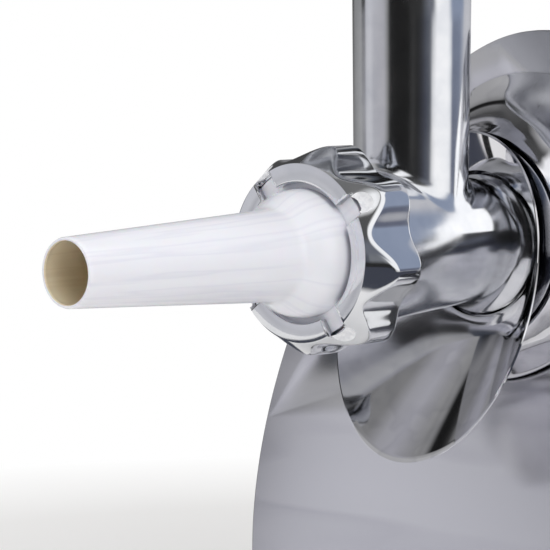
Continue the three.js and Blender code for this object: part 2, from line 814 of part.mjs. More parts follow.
function outputGear() {
  const teeth = wheel(OUTPUT, OUTPUT.teeth, OUTPUT.module, OUTPUT.s, OUTPUT.width, bearing(OUTPUT, SECOND));
  const hub = cylinder(OUTPUT_HUB, 113, OUTPUT.s + 1, 28);
  const stub = cylinder(6, OUTPUT.s + OUTPUT.width - 1, CASE.back + CASE.wall, 16);
  const socket = extruded(regular(6, SOCKET_FLATS), 112, 138);
  return cut(join(teeth, hub, stub), socket);
}

function secondGear() {
  const pinionTurn = bearing(SECOND, OUTPUT) + Math.PI / SECOND.pinion;
  const pinion = wheel(SECOND, SECOND.pinion, OUTPUT.module, OUTPUT.s, OUTPUT.width + 3, pinionTurn);
  const teeth = wheel(SECOND, SECOND.teeth, SECOND.module, SECOND.s, SECOND.width, bearing(SECOND, FIRST));
  return cut(join(teeth, pinion), axleHole(SECOND, CASE.front, CASE.back));
}

function firstGear() {
  const pinionTurn = bearing(FIRST, SECOND) + Math.PI / FIRST.pinion;
  const pinion = wheel(FIRST, FIRST.pinion, SECOND.module, SECOND.s, FIRST.s - SECOND.s + 1, pinionTurn);
  const teeth = wheel(FIRST, FIRST.teeth, FIRST.module, FIRST.s, FIRST.width, bearing(FIRST, MOTOR));
  return cut(join(teeth, pinion), axleHole(FIRST, CASE.front, CASE.back));
}

function outputBearing() {
  const inner = OUTPUT_HUB + GAP;
  return turned([[inner, 140.2], [20, 140.2], [20, 144.6], [inner, 144.6], [inner, 140.2]], 28);
}

// Motor

const SHAFT_RADIUS = 4;
const STATOR_END = MOTOR.s + MOTOR.length;

function atMotor(geometry) {
  return geometry.translate(MOTOR.x, 0, MOTOR.z);
}

function armature() {
  const pinionTurn = bearing(MOTOR, FIRST) + Math.PI / MOTOR.teeth;
  const pinion = wheel({ x: 0, z: 0 }, MOTOR.teeth, FIRST.module, FIRST.s, FIRST.width, pinionTurn);
  const shaft = turned(
    [
      [0, FIRST.s + 1],
      [3.2, FIRST.s + 1],
      [3.2, FIRST.s + FIRST.width + 1],
      [SHAFT_RADIUS, FIRST.s + FIRST.width + 2],
      [SHAFT_RADIUS, MOTOR.s],
      [22.6, MOTOR.s],
      [22.6, STATOR_END],
      [15, STATOR_END + 4],
      [SHAFT_RADIUS, STATOR_END + 5],
      [SHAFT_RADIUS, 285],
      [0, 285],
    ],
    18,
  );
  return atMotor(join(pinion, shaft));
}

function stator() {
  const outline = roundedRectangle(-MOTOR.radius, MOTOR.radius, -MOTOR.radius, MOTOR.radius, 12);
  const core = extruded(outline, MOTOR.s, STATOR_END, 4);
  const slot = box(-13, 13, MOTOR.s - 1, STATOR_END + 1, -30.5, 30.5);
  return atMotor(cut(core, cylinder(MOTOR.bore, MOTOR.s - 1, STATOR_END + 1, 32), slot));
}

function fieldCoil(side) {
  const low = 24.2;
  const high = 30;
  const band = box(-12.4, 12.4, MOTOR.s - 5, STATOR_END + 4, low, high);
  return atMotor(side > 0 ? band : band.rotateY(Math.PI));
}

function commutator() {
  const inner = SHAFT_RADIUS + GAP;
  return atMotor(turned([[inner, 256], [11, 256], [11, 266], [inner, 266], [inner, 256]], 24));
}

function endBracket(from, to) {
  const plate = extruded(roundedRectangle(-36, 36, -14, 14, 8), from, to, 4);
  return atMotor(cut(plate, cylinder(SHAFT_RADIUS + GAP, from - 1, to + 1, 16)));
}

function brushHolder(side) {
  const holder = box(11.4, 25, 257.5, 264.5, -4, 4);
  return atMotor(side > 0 ? holder : holder.rotateY(Math.PI));
}

const FAN_RADIUS = 28;

function fan() {
  const hub = cylinder(8, 278, 284, 20);
  const blade = box(0, FAN_RADIUS, 278.5, 283.5, -0.9, 0.9);
  const blades = Array.from({ length: 8 }, (_, i) => blade.clone().rotateY((i * Math.PI) / 4));
  const bore = cylinder(SHAFT_RADIUS + GAP, 277, 285, 16);
  return atMotor(cut(join(hub, ...blades), bore));
}

// Rocker switch and buttons

function switchBody() {
  const { s, halfLength, halfHeight, x } = ROCKER;
  const z = CONTROL_Z;
  const body = box(70, x, s - halfLength, s + halfLength, z - halfHeight, z + halfHeight);
  const room = box(78, x + 1, s - halfLength + 2, s + halfLength - 2, z - halfHeight + 2, z + halfHeight - 2);
  const pin = new THREE.CylinderGeometry(1.2, 1.2, 2 * halfHeight - 2, 14).rotateX(Math.PI / 2).translate(x - 9, s, z);
  return join(cut(body, room), pin);
}

function rocker() {
  const { s, halfHeight, x } = ROCKER;
  const half = halfHeight - 2 - GAP;
  const outline = polygon([[-5, -4], [-1, -10.5], [3.6, -11.5], [5.4, -10], [6.6, 0], [9.2, 8.5], [8, 9.6], [2, 10.5], [-5, 4]]);
  const key = new THREE.ExtrudeGeometry(outline, { depth: 2 * half, bevelEnabled: false });
  const placed = key.translate(x - 9, s, CONTROL_Z - half);
  const pinHole = new THREE.CylinderGeometry(1.5, 1.5, 40, 14).rotateX(Math.PI / 2).translate(x - 9, s, CONTROL_Z);
  return cut(placed, pinHole);
}

function reverseBezel() {
  const { s, radius, x } = REVERSE;
  const inner = radius + GAP;
  const profile = [[inner, 70], [radius + 3, 70], [radius + 3, x], [inner, x], [inner, 70]];
  return sideways(profile, s, CONTROL_Z);
}

function reverseButton() {
  return sidewaysCylinder(REVERSE.radius, 78, REVERSE.x + 4, REVERSE.s, CONTROL_Z, 24);
}

// The whole machine

add("sausage_tube", sausageTube(), whitePlastic);
add("ring_nut", ringNut(), polished);
add("grinder_head", grinderHead(), polished);
add("mincing_plate", mincingPlate(), hardSteel);
add("knife", knife(), hardSteel);
add("feed_screw", feedScrew(), castAluminium);
add("thrust_washer", thrustWasher(), nylon);
add("hopper_tray", hopperTray(), stainless);
add("food_pusher", foodPusher(), whitePlastic);
add("splash_dish", splashDish(), polished);
add("front_panel", frontPanel(), polished);
add("neck_collar", neckCollar(), castAluminium);
add("neck_cover", neckCover(), polished);
add("clamp_pad", clampPad(), nylon);
add("clamp_knob", clampKnob(), darkPlastic);
add("housing_shell", housingShell(), silverPlastic);
add("rear_cover", rearCover(), darkPlastic);
COVER_SCREWS.forEach(([x, z], i) => add(`cover_screw_${i + 1}`, coverScrew(x, z), stainless));
add("base_plate", basePlate(), darkPlastic);
FEET.forEach(([x, s], i) => add(`foot_${i + 1}`, foot(x, s), rubber));
add("gearbox_case", gearboxCase(), castAluminium);
add("gearbox_cover", gearboxCover(), castAluminium);
add("second_axle", axle(SECOND), hardSteel);
add("first_axle", axle(FIRST), hardSteel);
add("output_gear", outputGear(), gearPlastic);
add("second_gear", secondGear(), gearPlastic);
add("first_gear", firstGear(), gearPlastic);
add("output_bearing", outputBearing(), brass);
add("armature", armature(), laminations);
add("stator", stator(), laminations);
add("field_coil_top", fieldCoil(1), copper);
add("field_coil_bottom", fieldCoil(-1), copper);
add("commutator", commutator(), copper);
add("front_bracket", endBracket(187, 192), castAluminium);
add("rear_bracket", endBracket(270, 275), castAluminium);
add("brush_holder_left", brushHolder(-1), darkPlastic);
add("brush_holder_right", brushHolder(1), darkPlastic);
add("fan", fan(), nylon);
add("switch_body", switchBody(), darkPlastic);
add("rocker", rocker(), darkPlastic);
add("reverse_bezel", reverseBezel(), darkPlastic);
add("reverse_button", reverseButton(), silverPlastic);
add("reset_button", resetButton(), darkPlastic);
add("mains_inlet", mainsInlet(), darkPlastic);

export default machine;
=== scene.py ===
# An electric meat grinder with a sausage-filling tube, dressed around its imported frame.
# Most pieces are made in the head's own frame, in millimetres: x to the right, s behind the ring
# nut's front face and z above the head's axis. place() carries a point from there to the frame
# that every piece shares, in metres.

import json
import math

import bmesh
import bpy
from mathutils import Matrix, Vector

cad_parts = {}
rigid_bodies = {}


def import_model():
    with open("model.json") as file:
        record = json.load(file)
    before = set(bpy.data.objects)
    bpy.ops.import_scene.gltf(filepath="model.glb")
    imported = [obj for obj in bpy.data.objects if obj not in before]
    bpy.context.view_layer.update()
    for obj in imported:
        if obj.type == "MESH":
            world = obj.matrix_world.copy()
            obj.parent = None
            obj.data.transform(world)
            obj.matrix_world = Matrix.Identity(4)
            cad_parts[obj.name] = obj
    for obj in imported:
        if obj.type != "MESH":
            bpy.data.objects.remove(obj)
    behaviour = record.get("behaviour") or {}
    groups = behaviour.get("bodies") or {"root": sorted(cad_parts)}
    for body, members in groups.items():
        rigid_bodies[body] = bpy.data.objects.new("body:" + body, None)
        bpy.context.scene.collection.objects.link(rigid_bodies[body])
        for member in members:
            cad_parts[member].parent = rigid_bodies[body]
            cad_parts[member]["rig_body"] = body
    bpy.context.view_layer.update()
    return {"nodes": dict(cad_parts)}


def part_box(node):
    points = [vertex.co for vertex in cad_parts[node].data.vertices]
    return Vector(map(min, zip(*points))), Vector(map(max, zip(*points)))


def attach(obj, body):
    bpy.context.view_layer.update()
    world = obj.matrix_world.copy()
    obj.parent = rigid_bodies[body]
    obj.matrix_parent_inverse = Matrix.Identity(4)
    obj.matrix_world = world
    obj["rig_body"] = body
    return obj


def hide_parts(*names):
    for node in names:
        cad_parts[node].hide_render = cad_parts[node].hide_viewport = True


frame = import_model()

MM = 0.001
TURN = 2 * math.pi

ring_low, ring_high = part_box("ring_nut")
FACE_Y = ring_low.y
AXIS_Z = (ring_low.z + ring_high.z) / 2

# Driving sizes in millimetres, tilts in degrees and turns in radians
GAP = 0.3
CHUTE_S = 64.2
CHUTE_RADIUS = 22.42
CHUTE_FLARE = 0.75
CHUTE_TOP = 108
TRAY_LOW = CHUTE_TOP + GAP
TRAY_SHEET = 1.6
CUP_RADIUS = 32.8
RING_DEPTH = 25
LOBES = 8
FIRST_LOBE = math.radians(36.5)
DISH = {
    "half_width": 48.3, "half_height": 67.1, "tilt": 18.2, "s": 78.8, "z": -21.2,
    "hub": 29.4, "hub_s": 103.2,
}
PANEL = {
    "half_width": 118.8, "half_height": 166, "taper": 0.155, "tilt": 12.4, "s": 108, "z": -79, "thick": 2,
}
BODY_BOTTOM = -165
NECK_HOLE = 40.8
NOTCH_TURNS = [math.radians(35 + 90 * quarter) for quarter in range(4)]
BALL_RADIUS = 7
BALL_OUT = 40.2
BALL_S = 0.5
CLAMP_S = 110
REVERSE = {"s": 247, "z": -62}
RESET = {"x": -38, "z": -128}


def place(x, s, z):
    """A point of the head's frame, carried to the shared one."""
    return Vector((x * MM, FACE_Y + s * MM, AXIS_Z + z * MM))


# Meshes


def new_piece(name, points, faces, smooth=35):
    """A piece from points of the head's frame, its doubles merged and its faces turned outwards."""
    mesh = bpy.data.meshes.new(name)
    mesh.from_pydata([place(*point) for point in points], [], faces)
    shape = bmesh.new()
    shape.from_mesh(mesh)
    bmesh.ops.remove_doubles(shape, verts=shape.verts, dist=0.002 * MM)
    bmesh.ops.recalc_face_normals(shape, faces=shape.faces)
    shape.to_mesh(mesh)
    shape.free()
    piece = bpy.data.objects.new(name, mesh)
    bpy.context.collection.objects.link(piece)
    soften(piece, smooth)
    return piece


def soften(piece, smooth=35):
    """Shades a piece smooth, apart from edges that turn by more degrees than given."""
    piece.data.shade_smooth()
    piece.data.set_sharp_from_angle(angle=math.radians(smooth))


def sheet_of_rows(name, rows, closed_rows=True, smooth=35):
    """Joins rows of points, each a closed loop, into a skin. The last row joins the first when the
    section is closed; otherwise the two ends are capped."""
    count = len(rows[0])
    points = [point for row in rows for point in row]
    faces = []
    last = len(rows) if closed_rows else len(rows) - 1
    for i in range(last):
        a = i * count
        b = (i + 1) % len(rows) * count
        for j in range(count):
            k = (j + 1) % count
            faces.append((a + j, a + k, b + k, b + j))
    if not closed_rows:
        faces.append(tuple(range(count)))
        faces.append(tuple(range((len(rows) - 1) * count, len(rows) * count)))
    return new_piece(name, points, faces, smooth)


def turns_of(steps):
    """Equal steps of angle, once round."""
    return [TURN * i / steps for i in range(steps)]


def about_head(radius, s, steps):
    """A circle about the head's axis."""
    return [(radius * math.cos(a), s, radius * math.sin(a)) for a in turns_of(steps)]


def about_upright(radius, z, steps, x=0, s=CHUTE_S):
    """A level circle, about the chute's axis unless another is given."""
    return [(x + radius * math.cos(a), s + radius * math.sin(a), z) for a in turns_of(steps)]


def about_sideways(radius, x, steps, s, z):
    """A circle about an axis that runs from side to side."""
    return [(x, s + radius * math.cos(a), z + radius * math.sin(a)) for a in turns_of(steps)]


def curve_through(knots, steps=6):
    """A smooth run of points through the knots (Catmull-Rom)."""
    padded = [knots[0], *knots, knots[-1]]
    out = []
    for i in range(1, len(padded) - 2):
        a, b, c, d = padded[i - 1:i + 3]
        for j in range(steps):
            t = j / steps
            out.append(tuple(
                0.5 * (
                    2 * q + (r - p) * t
                    + (2 * p - 5 * q + 4 * r - w) * t * t
                    + (3 * q - p - 3 * r + w) * t ** 3
                )
                for p, q, r, w in zip(a, b, c, d)
            ))
    return [*out, tuple(knots[-1])]


def bend(start, corner, end, steps):
    """A curve from start to end that heads for the corner between them."""
    shares = [i / steps for i in range(steps + 1)]
    return [tuple(start * (1 - t) ** 2 + corner * 2 * t * (1 - t) + end * t * t) for t in shares]


def rounded(profile, radii, closed=True):
    """Rounds a profile's corners: each point has its own radius, and 0 keeps it sharp."""
    out = []
    count = len(profile)
    for i, (point, radius) in enumerate(zip(profile, radii)):
        here = Vector(point)
        at_end = not closed and i in (0, count - 1)
        if radius == 0 or at_end:
            out.append(tuple(here))
            continue
        before = Vector(profile[i - 1]) - here
        after = Vector(profile[(i + 1) % count]) - here
        reach = min(radius, before.length * 0.49, after.length * 0.49)
        start = here + before.normalized() * reach
        end = here + after.normalized() * reach
        out.extend(bend(start, here, end, 5))
    return out


def turned(name, profile, steps=96, smooth=35):
    """A solid turned about the head's axis from (radius, s) points. A profile that starts on the
    axis ends there too. Any other is a closed ring."""
    rows = [about_head(max(radius, 0.001), s, steps) for radius, s in profile]
    return sheet_of_rows(name, rows, profile[0][0] != 0, smooth)


def upright_turned(name, profile, steps=128, x=0, s=CHUTE_S):
    """As turned(), about an upright axis, from (radius, z) points."""
    rows = [about_upright(max(radius, 0.001), z, steps, x, s) for radius, z in profile]
    return sheet_of_rows(name, rows, profile[0][0] != 0)


def sideways_turned(name, profile, s, z, steps=96):
    """As turned(), about an axis from side to side, from (radius, x) points."""
    rows = [about_sideways(max(radius, 0.001), x, steps, s, z) for radius, x in profile]
    return sheet_of_rows(name, rows, profile[0][0] != 0)


def side_drill(name, radius, ends, steps=48, s=CLAMP_S, z=0):
    """A round cutter that runs from side to side between two places on x."""
    return sheet_of_rows(name, [about_sideways(radius, x, steps, s, z) for x in ends], False)


def combined(piece, tools, operation):
    """Joins a piece with others or cuts it with them. They are used up."""
    for tool in tools:
        step = piece.modifiers.new(operation.lower(), "BOOLEAN")
        step.operation = operation
        step.solver = "EXACT"
        step.object = tool
    settle(piece)
    for tool in tools:
        bpy.data.objects.remove(tool)
    return piece


def settle(piece):
    """Turns a piece's modifiers into plain mesh."""
    bpy.context.view_layer.update()
    evaluated = piece.evaluated_get(bpy.context.evaluated_depsgraph_get())
    result = bpy.data.meshes.new_from_object(evaluated)
    piece.modifiers.clear()
    piece.data = result
    return piece


def block(name, x, s, z, ease=0):
    """A box between two places on each axis, its edges rounded where an ease is given."""
    points = [(a, b, c) for a in x for b in s for c in z]
    sides = [(0, 1, 3, 2), (4, 5, 7, 6), (0, 1, 5, 4), (2, 3, 7, 6), (0, 2, 6, 4), (1, 3, 7, 5)]
    box = new_piece(name, points, sides, smooth=30)
    if ease:
        bevelled(box, ease)
    return box


def bevelled(piece, width, angle=30):
    """Rounds every edge sharper than an angle."""
    shape = bmesh.new()
    shape.from_mesh(piece.data)
    bmesh.ops.remove_doubles(shape, verts=shape.verts, dist=0.004 * MM)
    limit = math.radians(1)
    bmesh.ops.dissolve_limit(shape, angle_limit=limit, verts=shape.verts, edges=shape.edges)
    least = math.radians(angle)
    sharp = [e for e in shape.edges if len(e.link_faces) == 2 and e.calc_face_angle(0) > least]
    bmesh.ops.bevel(
        shape, geom=sharp, offset=width * MM, segments=3, profile=0.5, affect="EDGES", clamp_overlap=True
    )
    bmesh.ops.recalc_face_normals(shape, faces=shape.faces)
    shape.to_mesh(piece.data)
    shape.free()
    soften(piece, 40)
    return piece


def eased(name, width):
    """A piece as it was modelled, with its machined edges broken."""
    source = frame["nodes"][name]
    piece = bpy.data.objects.new(name + "_eased", source.data.copy())
    piece.data.transform(source.matrix_world)
    bpy.context.collection.objects.link(piece)
    return bevelled(piece, width)


def joined(name, *parts):
    """One mesh from several closed ones."""
    shape = bmesh.new()
    for part in parts:
        shape.from_mesh(part.data)
        bpy.data.objects.remove(part)
    mesh = bpy.data.meshes.new(name)
    shape.to_mesh(mesh)
    shape.free()
    piece = bpy.data.objects.new(name, mesh)
    bpy.context.collection.objects.link(piece)
    soften(piece)
    return piece


def second_finish(piece):
    """Marks a part of a piece for the second of its two materials."""
    for face in piece.data.polygons:
        face.material_index = 1
    return piece


def finish(piece, body, slot, material, *nodes, inner=None):
    """Gives a piece its material, its body, and the frame's nodes that it stands for. The faces
    marked with 1 take the inner material."""
    sides = [face.material_index for face in piece.data.polygons]
    piece.data.materials.clear()
    piece.data.materials.append(material)
    if inner:
        piece.data.materials.append(inner)
        piece.data.polygons.foreach_set("material_index", sides)
    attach(piece, body)
    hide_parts(*nodes)


# Materials


def linear(code):
    """An sRGB hex colour as the linear RGBA that shaders take."""
    channels = [int(code[i:i + 2], 16) / 255 for i in (1, 3, 5)]
    return (*(c / 12.92 if c <= 0.04045 else ((c + 0.055) / 1.055) ** 2.4 for c in channels), 1)


def node(tree, kind, links=None, **settings):
    """Adds a node: settings name its properties or its inputs, and links feed its inputs."""
    made = tree.nodes.new(kind)
    for key, value in settings.items():
        if hasattr(made, key) and key not in ("inputs", "outputs"):
            setattr(made, key, value)
        else:
            made.inputs[key.replace("_", " ")].default_value = value
    for key, source in (links or {}).items():
        tree.links.new(source, made.inputs[key])
    return made


def principled(name, **settings):
    """A material's start: the material, its tree, its shader and the place on the object."""
    material = bpy.data.materials.new(name)
    material.use_nodes = True
    shader = material.node_tree.nodes["Principled BSDF"]
    for key, value in settings.items():
        shader.inputs[key.replace("_", " ")].default_value = value
    place_in = node(material.node_tree, "ShaderNodeTexCoord")
    return material, material.node_tree, shader, place_in.outputs["Object"]


def ramp(tree, source, stops):
    """A colour ramp between (position, colour) stops."""
    made = node(tree, "ShaderNodeValToRGB", {"Fac": source})
    elements = made.color_ramp.elements
    while len(elements) < len(stops):
        elements.new(0.5)
    for element, (position, colour) in zip(elements, stops):
        element.position = position
        element.color = colour
    return made.outputs["Color"]


def grey(value):
    """A neutral linear colour."""
    return (value, value, value, 1)


def waver(tree, shader, source, low, high):
    """Lets a shader's roughness wander between low and high with a noise."""
    spread = node(tree, "ShaderNodeMapRange", {"Value": source}, To_Min=low, To_Max=high)
    tree.links.new(spread.outputs["Result"], shader.inputs["Roughness"])


def relief(tree, shader, height, depth_mm):
    """Gives a shader a fine unevenness of the given depth."""
    bump = node(tree, "ShaderNodeBump", {"Height": height}, Distance=depth_mm * MM)
    tree.links.new(bump.outputs["Normal"], shader.inputs["Normal"])


def buffed_aluminium(name, colour, darker_tone, low, high, swirl):
    """Cast aluminium, tumbled and buffed bright: mirror-like, with a faint cloudiness and soft
    unevenness left by the casting, a finger's width across."""
    material, tree, shader, where = principled(name, Metallic=1.0)
    cloud = node(tree, "ShaderNodeTexNoise", {"Vector": where}, Scale=1 / (9 * MM), Detail=3.0)
    waver(tree, shader, cloud.outputs["Fac"], low, high)
    smudge = node(tree, "ShaderNodeTexNoise", {"Vector": where}, Scale=1 / (14 * MM), Detail=3.0)
    tone = ramp(tree, smudge.outputs["Fac"], [(0.3, linear(darker_tone)), (0.6, linear(colour))])
    tree.links.new(tone, shader.inputs["Base Color"])
    swell = node(tree, "ShaderNodeTexNoise", {"Vector": where}, Scale=1 / (16 * MM), Detail=1.5)
    relief(tree, shader, swell.outputs["Fac"], swirl)
    return material


def mirror_steel(name, colour, shade, low, high, reach, grain):
    """Stainless sheet, drawn and polished: a clear reflection with faint polish haze, and painted shade
    that darkens its tight corners. Its faint waves are drawn out along each axis whose grain is
    small, as rolling leaves them."""
    material, tree, shader, where = principled(name, Metallic=1.0)
    # Painted shade: the colour runs to a dark grey where nearby surfaces hem the sheet in.
    corner = node(tree, "ShaderNodeAmbientOcclusion", Distance=reach * MM, samples=8)
    depth = node(tree, "ShaderNodeMapRange", {"Value": corner.outputs["AO"]}, From_Min=0.3, From_Max=0.72)
    rolled = node(tree, "ShaderNodeMapping", {"Vector": where}, Scale=grain)
    haze = node(tree, "ShaderNodeTexNoise", {"Vector": rolled.outputs[0]}, Scale=1 / (25 * MM), Detail=2.0)
    bright = linear(colour)
    waves = ramp(tree, haze.outputs["Fac"], [(0.46, bright), (0.5, linear(shade)), (0.6, bright)])
    # The dark grey of the painted shade in the corners.
    darker_tone = linear("#54565D")
    tone = node(tree, "ShaderNodeMixRGB", {"Fac": depth.outputs[0], "Color2": waves}, Color1=darker_tone)
    tree.links.new(tone.outputs["Color"], shader.inputs["Base Color"])
    waver(tree, shader, haze.outputs["Fac"], low, high)
    return material


def white_polypropylene(name, colour, shade):
    """Injection-moulded polypropylene: glossy and faintly translucent, with a cool grey painted shade
    in its corners and long flow marks drawn out along the tube."""
    material, tree, shader, where = principled(
        name,
        IOR=1.49,
        Coat_Weight=0.3,
        Coat_Roughness=0.08,
        Subsurface_Weight=0.12,
        Subsurface_Scale=0.002,
    )
    # Painted shade: the colour runs to a cool grey where nearby surfaces hem the plastic in.
    crevice_shade = node(tree, "ShaderNodeAmbientOcclusion", Distance=4 * MM, samples=8)
    depth = node(tree, "ShaderNodeMapRange", {"Value": crevice_shade.outputs["AO"]}, From_Min=0.15, From_Max=0.6)
    across = node(tree, "ShaderNodeMapping", {"Vector": where}, Location=(0, 0, -AXIS_Z), Scale=(1, 0, 1))
    ray = node(tree, "ShaderNodeVectorMath", {0: across.outputs["Vector"]}, operation="NORMALIZE")
    along = node(tree, "ShaderNodeMapping", {"Vector": where}, Scale=(0, 3, 0))
    drawn = node(tree, "ShaderNodeVectorMath", {0: ray.outputs[0], 1: along.outputs[0]}, operation="ADD")
    flow = node(tree, "ShaderNodeTexNoise", {"Vector": drawn.outputs[0]}, Scale=2.6, Detail=2.5)
    clear = linear(colour)
    streak = ramp(tree, flow.outputs["Fac"], [(0.42, clear), (0.5, linear(shade)), (0.55, clear)])
    shaded = linear("#A6A6B2")
    tone = node(tree, "ShaderNodeMixRGB", {"Fac": depth.outputs[0], "Color2": streak}, Color1=shaded)
    tree.links.new(tone.outputs["Color"], shader.inputs["Base Color"])
    waver(tree, shader, flow.outputs["Fac"], 0.16, 0.3)
    return material


def moulded_plastic(name, colour, dark, low, high, grain_mm, depth_mm, **settings):
    """Injection-moulded plastic: an even colour with a fine spark-eroded grain. The real grain, near
    0.1 mm, is too fine to show, so it is drawn coarser. A blasted casting has the same kind of skin."""
    material, tree, shader, where = principled(name, **settings)
    grain = node(tree, "ShaderNodeTexNoise", {"Vector": where}, Scale=1 / (grain_mm * MM), Detail=2.0)
    tone = ramp(tree, grain.outputs["Fac"], [(0.3, linear(dark)), (0.7, linear(colour))])
    tree.links.new(tone, shader.inputs["Base Color"])
    waver(tree, shader, grain.outputs["Fac"], low, high)
    relief(tree, shader, grain.outputs["Fac"], depth_mm)
    return material


def worked_metal(name, colour, direction, low=0.22, high=0.38):
    """Metal with a fine grain, drawn out into scratches along each axis whose scale is small. Real
    scratches, near 0.1 mm apart, are too fine to show, so they are drawn 0.5 mm apart."""
    material, tree, shader, where = principled(name, Base_Color=linear(colour), Metallic=1.0)
    along = node(tree, "ShaderNodeMapping", {"Vector": where}, Scale=direction).outputs["Vector"]
    scratch = node(tree, "ShaderNodeTexNoise", {"Vector": along}, Scale=1 / (0.5 * MM), Detail=3.0)
    waver(tree, shader, scratch.outputs["Fac"], low, high)
    relief(tree, shader, scratch.outputs["Fac"], 0.004)
    return material


# Bright as a mirror, with a soft cloud that hides fine detail in what it reflects.
polished_head = buffed_aluminium("buffed_cast_aluminium", "#E8E9EC", "#DBDDE2", 0.09, 0.17, 0.06)
polished_ring = buffed_aluminium("buffed_ring_aluminium", "#E8E9EC", "#E0E2E6", 0.05, 0.1, 0.03)
# Blasted with fine beads: frosted and almost matt, and painted near white as a highlight, so it stands out
# in the ring's hollows.
blasted_ring_highlight = moulded_plastic(
    "bead_blasted_aluminium", "#FCFCFE", "#E6E7EB", 0.3, 0.42, 1.6, 0.05, Metallic=0.1
)
# Clear reflections with crisp edges on the neck and the dish.
mirror = mirror_steel("mirror_polished_stainless", "#E6E6EA", "#DEDEE3", 0.03, 0.07, 14, (1, 1, 1))
dish_steel = mirror_steel("drawn_polished_stainless", "#E6E6EA", "#DCDCE1", 0.03, 0.07, 12, (1, 1, 1))
# A softer polish on the panel: blurred reflections and faint level waves from rolling.
satin = mirror_steel("satin_polished_stainless", "#E3E3E8", "#D8D8DE", 0.19, 0.27, 22, (0.09, 0.09, 0.5))
# Glossy cold white outside, and in the bore a warm tint that paints the light filtering through the wall.
white_plastic = white_polypropylene("moulded_white_polypropylene", "#F3F3FA", "#ECECF5")
bore_painted_warm_light = white_polypropylene("polypropylene_bore", "#EADFC4", "#E4D8BC")
# Sprayed paint with a fine metal flake: satin silver with a wide, soft highlight.
silver_abs = moulded_plastic(
    "silver_painted_abs", "#B9BABF", "#B3B4BA", 0.28, 0.4, 0.8, 0.01, Metallic=0.35, Coat_Weight=0.2
)
# Near black with a fine grain that spreads its highlights.
dark_abs = moulded_plastic("charcoal_abs", "#2F3034", "#2A2B2F", 0.42, 0.56, 0.6, 0.02)
# Black and dull, with next to no highlight.
rubber = moulded_plastic("black_rubber", "#1F1F21", "#19191B", 0.7, 0.85, 0.4, 0.03)
# Slightly waxy and off-white.
nylon = moulded_plastic("natural_nylon", "#EBE6D8", "#E2DCCB", 0.4, 0.5, 0.7, 0.01)
acetal = moulded_plastic("cream_acetal", "#DCD3BC", "#D3C9B0", 0.38, 0.5, 0.7, 0.01)
# Brushed from front to back, so that highlights stretch across.
brushed = worked_metal("brushed_stainless", "#CFD1D6", (1, 0.03, 0.03))
# Ground flat: darker grey, with a tight sheen.
tool_steel = worked_metal("ground_tool_steel", "#A3A5AA", (1, 1, 0.05), 0.18, 0.3)
# As it left the die: pale grey, with an even frosted sheen.
cast = worked_metal("die_cast_aluminium", "#C4C5C9", (1, 1, 1), 0.3, 0.45)
# A stack of thin sheets: dark, with the fine lines of their edges.
laminations = worked_metal("silicon_steel_laminations", "#5D5E62", (0.05, 1, 0.05), 0.4, 0.6)
# Wound wire under clear enamel: a red-brown gloss.
copper = worked_metal("enamelled_copper", "#B4713D", (0.05, 1, 0.05), 0.25, 0.4)
# Turned: a yellow metal with a bright, slightly streaked shine.
brass = worked_metal("turned_brass", "#B79A55", (0.05, 1, 0.05), 0.2, 0.35)


# What repeats or follows a rule is grown with geometry nodes


def growth(name, **kinds):
    """A geometry tree's start: geometry in and out, and named inputs."""
    tree = bpy.data.node_groups.new(name, "GeometryNodeTree")
    tree.interface.new_socket("Geometry", in_out="INPUT", socket_type="NodeSocketGeometry")
    for label, kind in kinds.items():
        tree.interface.new_socket(label.replace("_", " "), in_out="INPUT", socket_type="NodeSocket" + kind)
    tree.interface.new_socket("Geometry", in_out="OUTPUT", socket_type="NodeSocketGeometry")
    return tree, node(tree, "NodeGroupInput").outputs


def ripened(tree, given, shape):
    """A geometry tree's end: instances made real and given their finish."""
    solid = node(tree, "GeometryNodeRealizeInstances", {"Geometry": shape})
    links = {"Geometry": solid.outputs[0], "Material": given["Finish"]}
    coated = node(tree, "GeometryNodeSetMaterial", links)
    node(tree, "NodeGroupOutput", {"Geometry": coated.outputs[0]})
    return tree


def spots_tree():
    """A stamp repeated on each given point."""
    tree, given = growth("stamps_on_spots", Stamp="Object", Size="Float", Finish="Material")
    stamp = node(tree, "GeometryNodeObjectInfo", {"Object": given["Stamp"]})
    copies = node(tree, "GeometryNodeInstanceOnPoints", {
        "Points": given["Geometry"], "Instance": stamp.outputs["Geometry"], "Scale": given["Size"],
    })
    return ripened(tree, given, copies.outputs[0])


def round_tree():
    """A stamp repeated round a circle about the vertical, then leaned and moved into place."""
    tree, given = growth(
        "stamps_round", Stamp="Object", Count="Int", Radius="Float", Lean="Vector", Centre="Vector",
        Finish="Material",
    )
    stamp = node(tree, "GeometryNodeObjectInfo", {"Object": given["Stamp"]})
    circle = node(tree, "GeometryNodeMeshCircle", {"Vertices": given["Count"], "Radius": given["Radius"]})
    index = node(tree, "GeometryNodeInputIndex")
    share = node(tree, "ShaderNodeMath", {0: index.outputs[0], 1: given["Count"]}, operation="DIVIDE")
    angle = node(tree, "ShaderNodeMapRange", {"Value": share.outputs[0]}, To_Max=TURN)
    about = node(tree, "ShaderNodeCombineXYZ", {"Z": angle.outputs[0]})
    spin = node(tree, "FunctionNodeEulerToRotation", {"Euler": about.outputs[0]})
    copies = node(tree, "GeometryNodeInstanceOnPoints", {
        "Points": circle.outputs[0], "Instance": stamp.outputs["Geometry"], "Rotation": spin.outputs[0],
    })
    lean = node(tree, "FunctionNodeEulerToRotation", {"Euler": given["Lean"]})
    moved = node(tree, "GeometryNodeTransform", {
        "Geometry": copies.outputs[0], "Translation": given["Centre"], "Rotation": lean.outputs[0],
    })
    return ripened(tree, given, moved.outputs[0])


